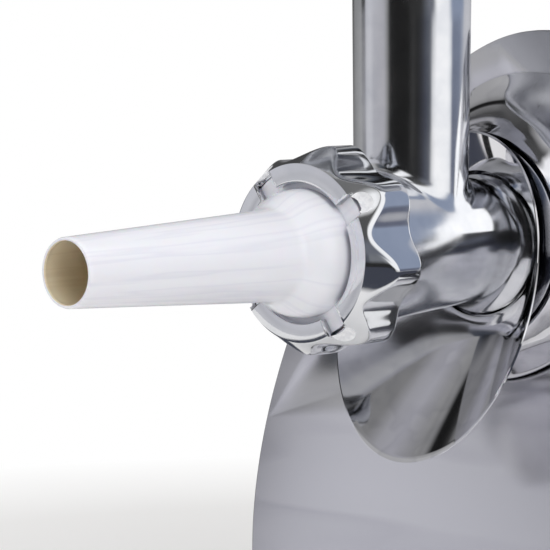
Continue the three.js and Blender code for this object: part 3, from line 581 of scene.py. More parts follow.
def slots_tree():
    """A column of stamps that grow narrower away from its middle."""
    tree, given = growth(
        "graded_slots", Stamp="Object", Count="Int", Start="Vector", Step="Vector", Middle="Float",
        Shrink="Float", Finish="Material",
    )
    stamp = node(tree, "GeometryNodeObjectInfo", {"Object": given["Stamp"]})
    line = node(tree, "GeometryNodeMeshLine", {
        "Count": given["Count"], "Start Location": given["Start"], "Offset": given["Step"],
    })
    index = node(tree, "GeometryNodeInputIndex")
    away = node(tree, "ShaderNodeMath", {0: index.outputs[0], 1: given["Middle"]}, operation="SUBTRACT")
    away = node(tree, "ShaderNodeMath", {0: away.outputs[0]}, operation="ABSOLUTE")
    loss = node(tree, "ShaderNodeMath", {0: away.outputs[0], 1: given["Shrink"]}, operation="MULTIPLY")
    width = node(tree, "ShaderNodeMapRange", {"Value": loss.outputs[0]}, To_Min=1, To_Max=0)
    size = node(tree, "ShaderNodeCombineXYZ", {"X": width.outputs[0]}, Y=1, Z=1)
    copies = node(tree, "GeometryNodeInstanceOnPoints", {
        "Points": line.outputs[0], "Instance": stamp.outputs["Geometry"], "Scale": size.outputs[0],
    })
    return ripened(tree, given, copies.outputs[0])


def flight_tree():
    """A screw's flight: a thin block wound into a helix about the head's axis, narrow at its rim."""
    tree, given = growth(
        "screw_flight", Turns="Float", Pitch="Float", Root_Radius="Float", Rim_Radius="Float",
        Root_Width="Float", Rim_Width="Float", Start="Vector", Finish="Material",
    )
    cube = node(tree, "GeometryNodeMeshCube", Vertices_X=10, Vertices_Y=5, Vertices_Z=400)
    where = node(tree, "GeometryNodeInputPosition").outputs[0]
    parts = node(tree, "ShaderNodeSeparateXYZ", {"Vector": where}).outputs

    def spread(source, ends):
        """A cube's coordinate, -0.5 to 0.5, spread between the two ends."""
        links = {"Value": source, **ends}
        return node(tree, "ShaderNodeMapRange", links, From_Min=-0.5, From_Max=0.5).outputs[0]

    radius = spread(parts["X"], {"To Min": given["Root Radius"], "To Max": given["Rim Radius"]})
    width = spread(parts["X"], {"To Min": given["Root Width"], "To Max": given["Rim Width"]})
    turn = spread(parts["Z"], {"To Max": given["Turns"]})
    angle = node(tree, "ShaderNodeMath", {0: turn}, operation="MULTIPLY")
    angle.inputs[1].default_value = TURN
    aside = node(tree, "ShaderNodeMath", {0: angle.outputs[0]}, operation="COSINE").outputs[0]
    above = node(tree, "ShaderNodeMath", {0: angle.outputs[0]}, operation="SINE").outputs[0]
    advance = node(tree, "ShaderNodeMath", {0: turn, 1: given["Pitch"]}, operation="MULTIPLY").outputs[0]
    thick = node(tree, "ShaderNodeMath", {0: parts["Y"], 1: width}, operation="MULTIPLY").outputs[0]
    x = node(tree, "ShaderNodeMath", {0: radius, 1: aside}, operation="MULTIPLY").outputs[0]
    y = node(tree, "ShaderNodeMath", {0: advance, 1: thick}, operation="ADD").outputs[0]
    z = node(tree, "ShaderNodeMath", {0: radius, 1: above}, operation="MULTIPLY").outputs[0]
    wound = node(tree, "ShaderNodeCombineXYZ", {"X": x, "Y": y, "Z": z})
    placed = node(tree, "ShaderNodeVectorMath", {0: wound.outputs[0], 1: given["Start"]}, operation="ADD")
    links = {"Geometry": cube.outputs["Mesh"], "Position": placed.outputs[0]}
    shape = node(tree, "GeometryNodeSetPosition", links)
    return ripened(tree, given, shape.outputs[0])


def grown(name, tree, spots=((0, 0, 0),), stamp=None, **given):
    """Runs a geometry tree and returns what it makes as a plain mesh. The stamp is used up."""
    seed = bpy.data.meshes.new(name)
    seed.from_pydata([[value * MM for value in spot] for spot in spots], [], [])
    source = bpy.data.objects.new(name + "_seed", seed)
    bpy.context.collection.objects.link(source)
    step = source.modifiers.new("growth", "NODES")
    step.node_group = tree
    for socket in tree.interface.items_tree:
        key = socket.name.replace(" ", "_")
        if socket.in_out == "INPUT" and key in given:
            value = given[key]
            step[socket.identifier] = list(value) if isinstance(value, (tuple, Vector)) else value
        if socket.in_out == "INPUT" and key == "Stamp":
            step[socket.identifier] = stamp
    settle(source)
    if stamp:
        bpy.data.objects.remove(stamp)
    source.name = name
    soften(source)
    return source


on_spots = spots_tree()
round_circle = round_tree()
in_slots = slots_tree()
as_flight = flight_tree()


def at_origin(stamp):
    """Moves a stamp so that the head frame's zero comes to the origin."""
    stamp.data.transform(Matrix.Translation(-place(0, 0, 0)))
    return stamp


def repeated(name, stamp, spots, material):
    """A stamp from the head frame, repeated at spots of that frame."""
    piece = grown(name, on_spots, spots, at_origin(stamp), Size=1.0, Finish=material)
    piece.data.transform(Matrix.Translation(place(0, 0, 0)))
    return piece


# Camera, light and floor


def studio_card(name, corners, glow):
    """A small card that only polished metal sees, from its front side: white to throw a patch of
    light, black to hold one back."""
    card = bpy.data.meshes.new(name)
    card.from_pydata([place(*corner) for corner in corners], [], [(0, 1, 2, 3)])
    material, tree, shader, _ = principled(f"{name}_surface", Base_Color=grey(0.02), Roughness=0.9)
    shader.inputs["Emission Color"].default_value = grey(1)
    shader.inputs["Emission Strength"].default_value = glow
    behind = node(tree, "ShaderNodeNewGeometry").outputs["Backfacing"]
    shown = node(tree, "ShaderNodeMath", {1: behind}, operation="SUBTRACT", Value=1)
    tree.links.new(shown.outputs[0], shader.inputs["Alpha"])
    card.materials.append(material)
    holder = bpy.data.objects.new(name, card)
    holder.visible_camera = False
    holder.visible_diffuse = False
    holder.visible_shadow = False
    bpy.context.scene.collection.objects.link(holder)


def view():
    """The camera: a long lens to the front right, a little above the head's axis."""
    scene = bpy.context.scene
    azimuth = math.radians(43.74)
    elevation = math.radians(5.05)
    away = Vector((
        math.sin(azimuth) * math.cos(elevation),
        -math.cos(azimuth) * math.cos(elevation),
        math.sin(elevation),
    ))
    right = Vector((math.cos(azimuth), math.sin(azimuth), 0))
    above = away.cross(right)
    camera = bpy.data.objects.new("camera", bpy.data.cameras.new("camera"))
    stand_off, left_by, down_by = 1.05265, 0.0086, 0.00807
    camera.location = place(0, 0, 0) + away * stand_off - right * left_by - above * down_by
    camera.rotation_euler = (-away).to_track_quat("-Z", "Y").to_euler()
    camera.data.lens = 184.19
    camera.data.sensor_width = 36
    scene.collection.objects.link(camera)
    scene.camera = camera
    scene.view_settings.view_transform = "Standard"


def paper():
    """The floor: a sheet of white paper on a dark table."""
    floor = bpy.data.meshes.new("floor")
    half = 0.75
    corners = [(-half, -half, 0), (half, -half, 0), (half, half, 0), (-half, half, 0)]
    floor.from_pydata(corners, [], [(0, 1, 2, 3)])
    ground = bpy.data.objects.new("floor", floor)
    bpy.context.scene.collection.objects.link(ground)
    material, tree, shader, where = principled("white_paper", Base_Color=linear("#F4F3F2"), Roughness=0.9)
    # Far from the object the paper turns plain white to the eye.
    reached = node(tree, "ShaderNodeVectorMath", {0: where}, operation="LENGTH").outputs["Value"]
    fade = node(tree, "ShaderNodeMapRange", {"Value": reached}, From_Min=0.42, From_Max=0.6)
    rays = node(tree, "ShaderNodeLightPath").outputs
    far = node(tree, "ShaderNodeMath", {0: fade.outputs[0], 1: rays["Is Camera Ray"]}, operation="MULTIPLY")
    white = node(tree, "ShaderNodeEmission", Strength=1.0)
    sheet = node(tree, "ShaderNodeMixShader", {0: far.outputs[0], 1: shader.outputs[0], 2: white.outputs[0]})
    # Polished metal sees the dark table beyond the paper's right edge and in a strip at its left.
    across = node(tree, "ShaderNodeSeparateXYZ", {"Vector": where}).outputs["X"]
    shifted = node(tree, "ShaderNodeMath", {0: across}, operation="ADD")
    shifted.inputs[1].default_value = 0.335
    off = node(tree, "ShaderNodeMath", {0: shifted.outputs[0]}, operation="ABSOLUTE")
    strip = node(tree, "ShaderNodeMapRange", {"Value": off.outputs[0]}, From_Min=0.1, From_Max=0.075)
    edge = node(tree, "ShaderNodeMapRange", {"Value": across}, From_Min=0.22, From_Max=0.27)
    bare = node(tree, "ShaderNodeMath", {0: edge.outputs[0], 1: strip.outputs[0]}, operation="MAXIMUM")
    dark = node(tree, "ShaderNodeMath", {0: bare.outputs[0], 1: rays["Is Glossy Ray"]}, operation="MULTIPLY")
    table = node(tree, "ShaderNodeEmission", Color=(0.06, 0.065, 0.085, 1))
    mixed = node(tree, "ShaderNodeMixShader", {0: dark.outputs[0], 1: sheet.outputs[0], 2: table.outputs[0]})
    tree.links.new(mixed.outputs[0], tree.nodes["Material Output"].inputs["Surface"])
    floor.materials.append(material)


def lamps():
    """Three wide, soft lamps that polished metal doesn't see."""
    settings = (
        ("key", (1.5, -0.6, 1.5), 1.2, 14),
        ("fill", (-1.4, -1.2, 1.0), 1.2, 6),
        ("top", (0, 0.1, 2.2), 1.6, 14),
    )
    for name, spot, size, power in settings:
        light = bpy.data.lights.new(name, "AREA")
        light.size = size
        light.energy = power
        lamp = bpy.data.objects.new(name, light)
        lamp.location = spot
        lamp.rotation_euler = (Vector(spot) - Vector((0, 0, 0.15))).to_track_quat("Z", "Y").to_euler()
        lamp.visible_glossy = False
        bpy.context.scene.collection.objects.link(lamp)


def cards():
    """Two white cards before the panel, one in the dish, and a black one beside the ring."""
    before_panel = (
        ("barrel_card", [(59, 24), (84, -8), (76, 33), (47, 60)], 1.25),
        ("lobe_card", [(91, -92), (106, -92), (106, -70), (82.5, -70)], 0.9),
    )
    lean = math.tan(math.radians(PANEL["tilt"]))
    for name, corners, glow in before_panel:
        studio_card(name, [(x, PANEL["s"] + lean * (z - PANEL["z"]) - 3, z) for x, z in corners], glow)
    studio_card("dish_card", [(33, 97, 8), (42, 89, 10), (33, 89, 29), (26, 97, 23)], 1.25)
    studio_card("side_flag", [(-140, 22, 8), (-130, 5, 8), (-130, 5, -38), (-140, 22, -38)], 0.0)


def surroundings():
    """A white room. Polished metal also sees the rest of a studio: grey walls, a black flag beside
    the camera and a bright screen to the right. Their places are bearings round the object, in
    degrees, at six heights."""
    world = bpy.data.worlds.new("studio")
    bpy.context.scene.world = world
    world.use_nodes = True
    tree = world.node_tree
    tree.nodes.clear()
    where = node(tree, "ShaderNodeTexCoord").outputs["Generated"]
    parts = node(tree, "ShaderNodeSeparateXYZ", {"Vector": where}).outputs
    front = node(tree, "ShaderNodeMath", {0: parts["Y"]}, operation="MULTIPLY")
    front.inputs[1].default_value = -1
    bearing = node(tree, "ShaderNodeMath", {0: parts["X"], 1: front.outputs[0]}, operation="ARCTAN2")
    half = math.pi
    turn = node(tree, "ShaderNodeMapRange", {"Value": bearing.outputs[0]}, From_Min=-half, From_Max=half)
    wall = (0.46, 0.46, 0.49, 1)
    pale = (0.62, 0.62, 0.65, 1)
    slate = (0.16, 0.17, 0.2, 1)
    sky = (0.30, 0.35, 0.46, 1)
    dusk = (0.12, 0.13, 0.18, 1)
    screen = grey(1.1)
    flag = grey(0.012)
    ground = [
        (-180, grey(0.7)), (-130, wall), (-20, pale), (-8, pale), (-3, flag), (60, flag), (88, grey(0.03)),
        (98, grey(0.6)), (180, pale),
    ]
    level = [
        (-180, pale), (-150, wall), (-136, grey(0.26)), (-104, grey(0.28)), (-82, grey(0.42)),
        (-62, wall), (-56, pale), (-46, pale), (-38, wall), (-14, (0.49, 0.48, 0.51, 1)), (-8, grey(0.3)),
        (-2, grey(0.03)), (10, flag), (34, flag), (44, grey(0.05)), (52, grey(0.02)),
        (70, (0.06, 0.065, 0.09, 1)), (78, (0.1, 0.11, 0.13, 1)), (83, screen), (123, screen),
        (129, dusk), (149, (0.17, 0.185, 0.24, 1)), (156, wall), (164, pale),
    ]
    low = [
        (-180, pale), (-150, wall), (-132, grey(0.12)), (-128, grey(0.07)), (-114, grey(0.07)),
        (-104, grey(0.28)), (-75, grey(0.3)), (-71, grey(0.03)), (-62.5, grey(0.03)),
        (-60, (0.57, 0.57, 0.61, 1)), (-50, (0.64, 0.64, 0.68, 1)), (-40, (0.58, 0.58, 0.62, 1)),
        (-16, wall), (-8, grey(0.3)), (-2, flag), (30, flag), (60, grey(0.04)), (74, slate), (83, slate),
        (91, screen), (116, screen), (126, sky), (157, sky), (166, pale),
    ]
    middle = [
        (-180, pale), (-150, wall), (-132, grey(0.16)), (-128, grey(0.07)), (-112, grey(0.07)),
        (-104, grey(0.15)), (-97, grey(0.2)), (-94, grey(0.03)), (-91, flag), (-87, flag),
        (-84, grey(0.25)), (-74, grey(0.36)), (-64, grey(0.4)), (-57, grey(0.48)), (-38, grey(0.45)),
        (-30, grey(0.18)), (-20, (0.09, 0.1, 0.12, 1)), (-4, flag), (24, flag), (31, screen),
        (46, screen), (54, flag), (66, grey(0.08)), (82, grey(0.1)), (91, screen), (116, screen),
        (126, sky), (157, sky), (166, pale),
    ]
    high = [
        (-180, grey(0.08)), (-148, grey(0.05)), (-128, grey(0.08)), (-97, grey(0.12)), (-93, grey(0.02)),
        (-83, grey(0.02)), (-79, grey(0.27)), (-62, (0.4, 0.4, 0.43, 1)), (-46, (0.36, 0.36, 0.38, 1)),
        (-30, grey(0.25)), (-10, grey(0.27)), (5, grey(0.12)), (24, grey(0.1)),
        (30, screen), (48, screen), (56, grey(0.1)), (62, screen), (78, screen),
        (84, grey(0.08)), (90, screen), (158, screen),
        (168, grey(0.08)), (180, grey(0.08)),
    ]
    crown = [(-180, grey(0.5)), (-100, grey(0.32)), (0, grey(0.12)), (100, grey(0.2)), (180, grey(0.5))]

    def around(bands):
        """The room's tones at one height, by bearing."""
        return ramp(tree, turn.outputs["Result"], [((angle + 180) / 360, tone) for angle, tone in bands])

    def blended(below, above, start, end):
        """One height's tones run into the next between two slopes of the view."""
        share = node(tree, "ShaderNodeMapRange", {"Value": parts["Z"]}, From_Min=start, From_Max=end)
        links = {"Fac": share.outputs["Result"], "Color1": below, "Color2": above}
        return node(tree, "ShaderNodeMixRGB", links).outputs["Color"]

    rises = (
        (level, -0.18, -0.12), (low, -0.06, 0.03), (middle, 0.17, 0.3), (high, 0.62, 0.7),
        (crown, 0.84, 0.92),
    )
    whole = around(ground)
    for bands, start, end in rises:
        whole = blended(whole, around(bands), start, end)
    path = node(tree, "ShaderNodeLightPath").outputs
    glossy = node(tree, "ShaderNodeBackground", {"Color": whole}, Strength=1.0)
    white = node(tree, "ShaderNodeBackground", Color=grey(1), Strength=1.0)
    soft = node(tree, "ShaderNodeBackground", Color=grey(1), Strength=0.55)
    seen, shiny = path["Is Camera Ray"], path["Is Glossy Ray"]
    room = node(tree, "ShaderNodeMixShader", {0: seen, 1: soft.outputs[0], 2: white.outputs[0]})
    both = node(tree, "ShaderNodeMixShader", {0: shiny, 1: room.outputs[0], 2: glossy.outputs[0]})
    node(tree, "ShaderNodeOutputWorld", {"Surface": both.outputs[0]})


# The working end


def relaxed(profile, passes):
    """Evens out a profile's bends, keeping its two ends."""
    points = [Vector(point) for point in profile]
    for _ in range(passes):
        middle = [(a + b * 2 + c) / 4 for a, b, c in zip(points, points[1:], points[2:])]
        points = [points[0], *middle, points[-1]]
    return [tuple(point) for point in points]


def sausage_tube():
    """The filling tube: a long taper, a round bell and a flange. Its inside is painted a warm tint for the
    light that filters through the wall.
    """
    tip, flange, back = 116.8, 3.3, 6.1
    knots = [
        (12.5, 1 - tip), (13.35, -98), (14.2, -80), (15.06, -62), (15.87, -45), (16.6, -30), (17.1, -19.5),
        (17.8, -14.6), (20.1, -11.2), (22.3, -7.4), (23.8, -2.6), (24.4, flange),
    ]
    taper = relaxed(curve_through(knots, 8), 8)
    lip = [(11.15, -tip + 0.9), (11.35, -tip + 0.2), (11.8, -tip), (12.2, -tip + 0.2)]
    inside = [(radius - min(1.9, 1.3 + 0.01 * (s + tip)), s) for radius, s in taper]
    flange_edge = rounded([(32.3, flange), (32.3, back)], [0.6, 0.6], closed=False)
    profile = [*lip, *taper, *flange_edge, (22.4, back), *reversed(inside)]
    steps = 160
    tube = sheet_of_rows("sausage_tube_skin", [about_head(r, s, steps) for r, s in profile])
    # The inside faces take the warm tint painted for light through the wall.
    for face in tube.data.polygons:
        middle = face.center
        reach = math.hypot(middle.x, middle.z - AXIS_Z)
        outward = face.normal.x * middle.x + face.normal.z * (middle.z - AXIS_Z)
        face.material_index = 1 if outward < -0.5 * reach else 0
    return tube


def ring_edge(angle):
    """The ring nut's side at an angle: eight lobes that run into each other as a wave."""
    wave = math.cos(LOBES * (angle - FIRST_LOBE))
    return 37.7 + 2.55 * wave + 0.05 * (2 * wave * wave - 1)


def ring_profile(angle):
    """The ring nut's section at an angle, from the edge of its hole round to its thread."""
    side = ring_edge(angle)
    slope = 0.58
    corner_s = 0.5 + (side - 34) / slope
    flank = abs(math.sin(LOBES * (angle - FIRST_LOBE))) ** 1.5
    ease = min(1.7 + 1.4 * flank, (corner_s - 0.5) * 0.8)
    cone = Vector((side, corner_s)) - Vector((slope, 1)).normalized() * ease
    corner = Vector((side, corner_s))
    wall = Vector((side, corner_s + 1.5))
    arc = bend(cone, corner, wall, 10)
    face = [(26.5, 0.7), (26.6, 0.3), (26.8, 0.08), (27.1, 0), (30, 0), (33.3, 0), (33.75, 0.1), (34, 0.5)]
    start = Vector(face[-1])
    run = [tuple(start.lerp(cone, i / 5)) for i in range(1, 5)]
    down = [(side, wall.y + (RING_DEPTH - 1.2 - wall.y) * i / 4) for i in range(1, 4)]
    rear = [(side, RING_DEPTH - 1.2), (side - 0.15, RING_DEPTH - 0.5), (side - 0.6, RING_DEPTH - 0.1)]
    inner = CUP_RADIUS + GAP
    back = [(side - 1.1, RING_DEPTH), (inner + 0.7, RING_DEPTH), (inner, RING_DEPTH - 0.8)]
    inside = [(inner, 12), (inner, 3), (30, 3), (26.5, 3)]
    return [*face, *run, *arc, *down, *rear, *back, *inside]


def ring_nut():
    """The lobed nut, with a notch and a blasted hollow at each quarter of its face; the hollows are painted
    near white as a highlight.
    """
    angles = turns_of(384)
    sections = [ring_profile(a) for a in angles]
    rows = []
    for i in range(len(sections[0])):
        rows.append([
            (section[i][0] * math.cos(a), section[i][1], section[i][0] * math.sin(a))
            for a, section in zip(angles, sections)
        ])
    ring = sheet_of_rows("ring_nut_skin", rows, smooth=30)
    tools = []
    for turn in NOTCH_TURNS:
        tools.append(notch_tool(turn))
        tools.append(dimple_tool(turn))
    ring = combined(ring, tools, "DIFFERENCE")
    hollows = [place(BALL_OUT * math.cos(a), BALL_S, BALL_OUT * math.sin(a)) for a in NOTCH_TURNS]
    # The hollows' faces take the frosted finish painted near white as a highlight.
    for face in ring.data.polygons:
        near = min((face.center - hollow).length for hollow in hollows)
        face.material_index = 1 if near < BALL_RADIUS * MM else 0
    return ring


def notch_tool(turn):
    """A square notch through the ring's lip, with slightly rounded corners."""
    half, outer, inner, soft = 4.75, 34, 22.0, 0.5
    corners = [(inner, -half), (outer - soft, -half), (outer, -half + soft), (outer, half - soft)]
    corners += [(outer - soft, half), (inner, half)]
    c, d = math.cos(turn), math.sin(turn)
    rows = [[(r * c - w * d, s, r * d + w * c) for r, w in corners] for s in (-1, 4)]
    return sheet_of_rows("notch", rows, False)


def dimple_tool(turn):
    """A ball that leaves a shallow round hollow in the cone outside a notch."""
    middle = place(BALL_OUT * math.cos(turn), BALL_S, BALL_OUT * math.sin(turn))
    ball = bpy.data.meshes.new("dimple")
    shape = bmesh.new()
    bmesh.ops.create_icosphere(shape, subdivisions=5, radius=BALL_RADIUS * MM)
    bmesh.ops.translate(shape, verts=shape.verts, vec=middle)
    shape.to_mesh(ball)
    shape.free()
    tool = bpy.data.objects.new("dimple", ball)
    bpy.context.collection.objects.link(tool)
    return tool


def barrel_radius(s):
    """The head's outside behind its threaded mouth: a taper, a flare and the spigot."""
    taper = 29.6 - 4.7 * (s - 28) / 71
    flare = 3.4 * max(0, (s - 95.5) / 7.5) ** 2.2
    return taper + flare


def drift(s):
    """How far the casting's rear end lies off the barrel's axis."""
    share = min(1, max(0, (s - 90) / 13))
    share = share * share * (3 - 2 * share)
    return 1.4 * share, -2 * share


def round_barrel(radius, turn, s):
    """A point of the casting, turned from its top line."""
    aside, below = drift(s)
    return (aside + radius * math.sin(turn), s, below + radius * math.cos(turn))


def on_barrel(turn, s):
    """A point of the barrel's smooth skin."""
    return round_barrel(barrel_radius(s), turn, s)


def thread_radius(turn, s):
    """The head's mouth with its coarse outside thread."""
    pitch, depth = 3.2, 0.9
    phase = (s / pitch - turn / TURN) % 1
    fade = min(1, max(0, (s - 8.2) / 1.5), max(0, (22.4 - s) / 1.5))
    flank = min(1, max(0, abs(phase - 0.5) * 5 - 0.9))
    return CUP_RADIUS - depth * fade * flank


def chute_saddle(steps):
    """The blend between chute and barrel. For each bearing round the chute it gives the rows of
    points from the chute's wall, round the fillet and out over the barrel to a window's edge."""
    on_wall, on_skin = 5.5, 4.2
    window_turn, window_s = math.radians(98), 31

    def seam(bearing):
        """Where the chute's wall meets the barrel: the way round the barrel, and s."""
        s = CHUTE_S + CHUTE_RADIUS * math.sin(bearing)
        around = math.asin(CHUTE_RADIUS * math.cos(bearing) / barrel_radius(s))
        return Vector((around * barrel_radius(s), s))

    rows = []
    for bearing in turns_of(steps):
        here = seam(bearing)
        along = seam(bearing + 0.01) - seam(bearing - 0.01)
        outward = Vector((along.y, -along.x)).normalized()
        skin = here + outward * on_skin
        corner = Vector(on_barrel(here.x / barrel_radius(here.y), here.y))
        top = corner + Vector((0, 0, on_wall))
        foot = Vector(on_barrel(skin.x / barrel_radius(skin.y), skin.y))
        column = bend(top, corner, foot, 8)
        widest = max(abs(math.cos(bearing)), abs(math.sin(bearing)))
        edge_turn = window_turn * math.cos(bearing) / widest
        edge_s = CHUTE_S + window_s * math.sin(bearing) / widest
        turn, s = skin.x / barrel_radius(skin.y), skin.y
        for j in range(1, 13):
            t = j / 12
            column.append(on_barrel(turn + (edge_turn - turn) * t, s + (edge_s - s) * t))
        rows.append(column)
    return rows, window_turn, window_s


def grinder_head():
    """One casting: threaded mouth, tapered barrel, chute blended in with a fillet, and rear spigot.
    The barrel is a grid with a window in its top, which the chute's saddle fills."""
    steps, under = 160, 64
    quarter = steps // 8
    saddle, window_turn, window_s = chute_saddle(steps)
    turns = [window_turn / math.tan(TURN * (quarter * 3 - i) / steps) for i in range(2 * quarter + 1)]
    turns += [window_turn + (TURN - 2 * window_turn) * i / under for i in range(1, under)]
    spans = [CHUTE_S + window_s * math.tan(TURN * (i - quarter) / steps) for i in range(2 * quarter + 1)]
    thread = [(None, 8 + 0.4 * i) for i in range(38)]
    step_down = [(CUP_RADIUS, 23.4), (CUP_RADIUS - 0.5, 24.2), (30.6, 26.9), (29.8, 27.6)]
    taper = [(barrel_radius(s), s) for s in (28.4, 30, 31.8)]
    front = [(CUP_RADIUS - 0.8, 6.9), (CUP_RADIUS - 0.2, 7.2), *thread, *step_down, *taper]
    flare = [(barrel_radius(s), s) for s in (95.6 + 0.5 * i for i in range(15))]
    lip = [(28, 103.1), (27.8, 103.5), (26.5, 103.7), (26, 104.2), (26, 105.6), (27.4, 106), (27.8, 106.6)]
    rear = [*flare, *lip, (27.8, 121.4), (27.4, 122)]

    def loop(radius, s):
        """The casting's outline at one place. Where no radius is given, the thread sets it."""
        return [round_barrel(radius or thread_radius(a, s), a, s) for a in turns]

    points, faces = [], []

    def skin(rows, wrap):
        """Joins rows of points into a skin, which closes on itself where it wraps."""
        start = len(points)
        count = len(rows[0])
        points.extend(p for row in rows for p in row)
        for i in range(len(rows) - 1):
            for j in range(count if wrap else count - 1):
                a = start + i * count + j
                b = start + i * count + (j + 1) % count
                faces.append((a, b, b + count, a + count))

    edge_front = [on_barrel(a, spans[0]) for a in turns]
    edge_rear = [on_barrel(a, spans[-1]) for a in turns]
    skin([*[loop(*row) for row in front], edge_front], True)
    skin([edge_rear, *[loop(*row) for row in rear]], True)
    lower = [*turns[2 * quarter:], TURN - window_turn]
    skin([[on_barrel(a, s) for a in lower] for s in spans], False)
    skin([list(row) for row in zip(*saddle)], True)
    top = CHUTE_TOP - 1
    rise = []
    for share in (0, 0.25, 0.5, 0.75, 1):
        scale = (CHUTE_RADIUS + CHUTE_FLARE * share) / CHUTE_RADIUS
        rise.append([
            (x * scale, CHUTE_S + (s - CHUTE_S) * scale, z + (top - z) * share)
            for x, s, z in (column[0] for column in saddle)
        ])
    skin(rise, True)
    wide = CHUTE_RADIUS + CHUTE_FLARE
    ends = ((wide, top), (wide - 0.12, top + 0.6), (wide - 0.57, CHUTE_TOP))
    ends = [about_upright(r, z, steps) for r, z in ends]
    skin(ends, True)
    for rim in (ends[-1], loop(*front[0]), loop(*rear[-1])):
        faces.append(tuple(range(len(points), len(points) + len(rim))))
        points.extend(rim)
    head = new_piece("grinder_head_skin", points, faces, smooth=30)
    mouth_room = turned("mouth_room", [(0, 5), (31.3, 5), (31.3, 11.9), (0, 11.9)], 128)
    bore = turned("bore", [(0, 5), (22.7, 5), (22.7, 102), (0, 102)], 96)
    throat = sheet_of_rows("throat", [about_upright(19.7, z, 96) for z in (0, CHUTE_TOP + 2)], False)
    shaft = turned("shaft_hole", [(0, 101), (9.6, 101), (9.6, 130), (0, 130)], 48)
    return combined(head, [mouth_room, bore, throat, shaft], "DIFFERENCE")


def splash_dish():
    """A drawn oval dish that flares forward from a hub on the barrel to its leaning rim."""
    lean = math.radians(DISH["tilt"])

    def at(angle, reach, offset):
        """A point of the dish: a share of the way to its rim, and set back by an offset."""
        up = DISH["half_height"] * math.sin(angle)
        rim = Vector((
            DISH["half_width"] * math.cos(angle),
            DISH["s"] + up * math.sin(lean),
            DISH["z"] + up * math.cos(lean),
        ))
        aside, below = drift(DISH["hub_s"])
        hub = Vector((
            aside + DISH["hub"] * math.cos(angle),
            DISH["hub_s"],
            below + DISH["hub"] * math.sin(angle),
        ))
        point = hub.lerp(rim, reach)
        point.y = hub.y + (rim.y - hub.y) * reach ** 1.08
        spread = reach * offset * 0.6
        back = offset * (0.6 + 0.4 * reach) - spread * 0.7
        return point + Vector((spread * math.cos(angle), back, spread * math.sin(angle)))

    angles = turns_of(256)
    reaches = [i / 28 for i in range(29)]
    front = [[tuple(at(a, reach, 0)) for a in angles] for reach in reaches]
    edge = [[tuple(at(a, 1.008, 0.5)) for a in angles]]
    rear = [[tuple(at(a, reach, 1.2)) for a in angles] for reach in reversed(reaches)]
    return sheet_of_rows("splash_dish_skin", [*front, *edge, *rear], smooth=40)


def lean_back(x, depth, up):
    """A point given on the leaning plane of the front panel: across, behind its face and up it."""
    tilt = math.radians(PANEL["tilt"])
    s = PANEL["s"] + depth * math.cos(tilt) + up * math.sin(tilt)
    return (x, s, PANEL["z"] + up * math.cos(tilt) - depth * math.sin(tilt))


def front_panel():
    """An egg-shaped sheet with a softened edge and a hole for the neck, standing on the base."""
    tilt = math.radians(PANEL["tilt"])
    lowest = (BODY_BOTTOM + PANEL["thick"] / 3 - PANEL["z"]) / math.cos(tilt) / PANEL["half_height"]
    start = math.asin(lowest)
    steps = 220

    def outline(inset, depth):
        """The sheet's outline, drawn in by an inset, at a depth behind its face."""
        row = []
        for i in range(steps + 1):
            angle = start + (math.pi - 2 * start) * i / steps
            width = (PANEL["half_width"] - inset) * (1 - PANEL["taper"] * math.sin(angle))
            up = (PANEL["half_height"] - inset) * math.sin(angle)
            row.append(lean_back(width * math.cos(angle), depth, up))
        return row

    rows = [outline(0.7, 0), outline(0.3, 0.12), outline(0.06, 0.4), outline(0, 0.8), outline(0, 2)]
    panel = sheet_of_rows("front_panel_skin", rows, False, smooth=25)
    hole = turned("neck_hole", [(0, 90), (NECK_HOLE, 90), (NECK_HOLE, 160), (0, 160)], 160)
    return combined(panel, [hole], "DIFFERENCE")


def neck_cover():
    """A spun trumpet that spreads from the collar on to the panel, with a flat foot ring."""
    bell = curve_through(
        [(42.8, 104.5), (43.6, 110), (45.4, 117), (48.5, 124), (53, 130), (58.5, 134.5), (66, 138)], 8
    )
    profile = [(0, 104.5), (42.3, 104.5), *bell, (66, 160), (0, 160)]
    trumpet = turned("neck_cover_skin", profile, 192)
    up = -PANEL["z"] / math.cos(math.radians(PANEL["tilt"]))
    foot_rows = [
        [lean_back(radius * math.cos(a), depth, up + radius * math.sin(a)) for a in turns_of(192)]
        for radius, depth in ((57.8, -2.4), (58.6, -2.1), (59, -1.4), (59, 6))
    ]
    foot = sheet_of_rows("foot_ring", foot_rows, False)
    combined(trumpet, [foot], "UNION")
    wall = [lean_back(x, depth, up) for x, depth, up in (
        (-200, -0.3, -200), (200, -0.3, -200), (200, -0.3, 400), (-200, -0.3, 400),
        (-200, 200, -200), (200, 200, -200), (200, 200, 400), (-200, 200, 400),
    )]
    sides = [(0, 1, 2, 3), (4, 5, 6, 7), (0, 1, 5, 4), (1, 2, 6, 5), (2, 3, 7, 6), (3, 0, 4, 7)]
    behind = new_piece("behind_panel", wall, sides)
    inside = turned("inside", [(0, 90), (NECK_HOLE, 90), (NECK_HOLE, 170), (0, 170)], 160)
    screw = side_drill("screw_hole", 3.4, (-80, 0), 32)
    return combined(trumpet, [behind, inside, screw], "DIFFERENCE")


# The screw and the plate


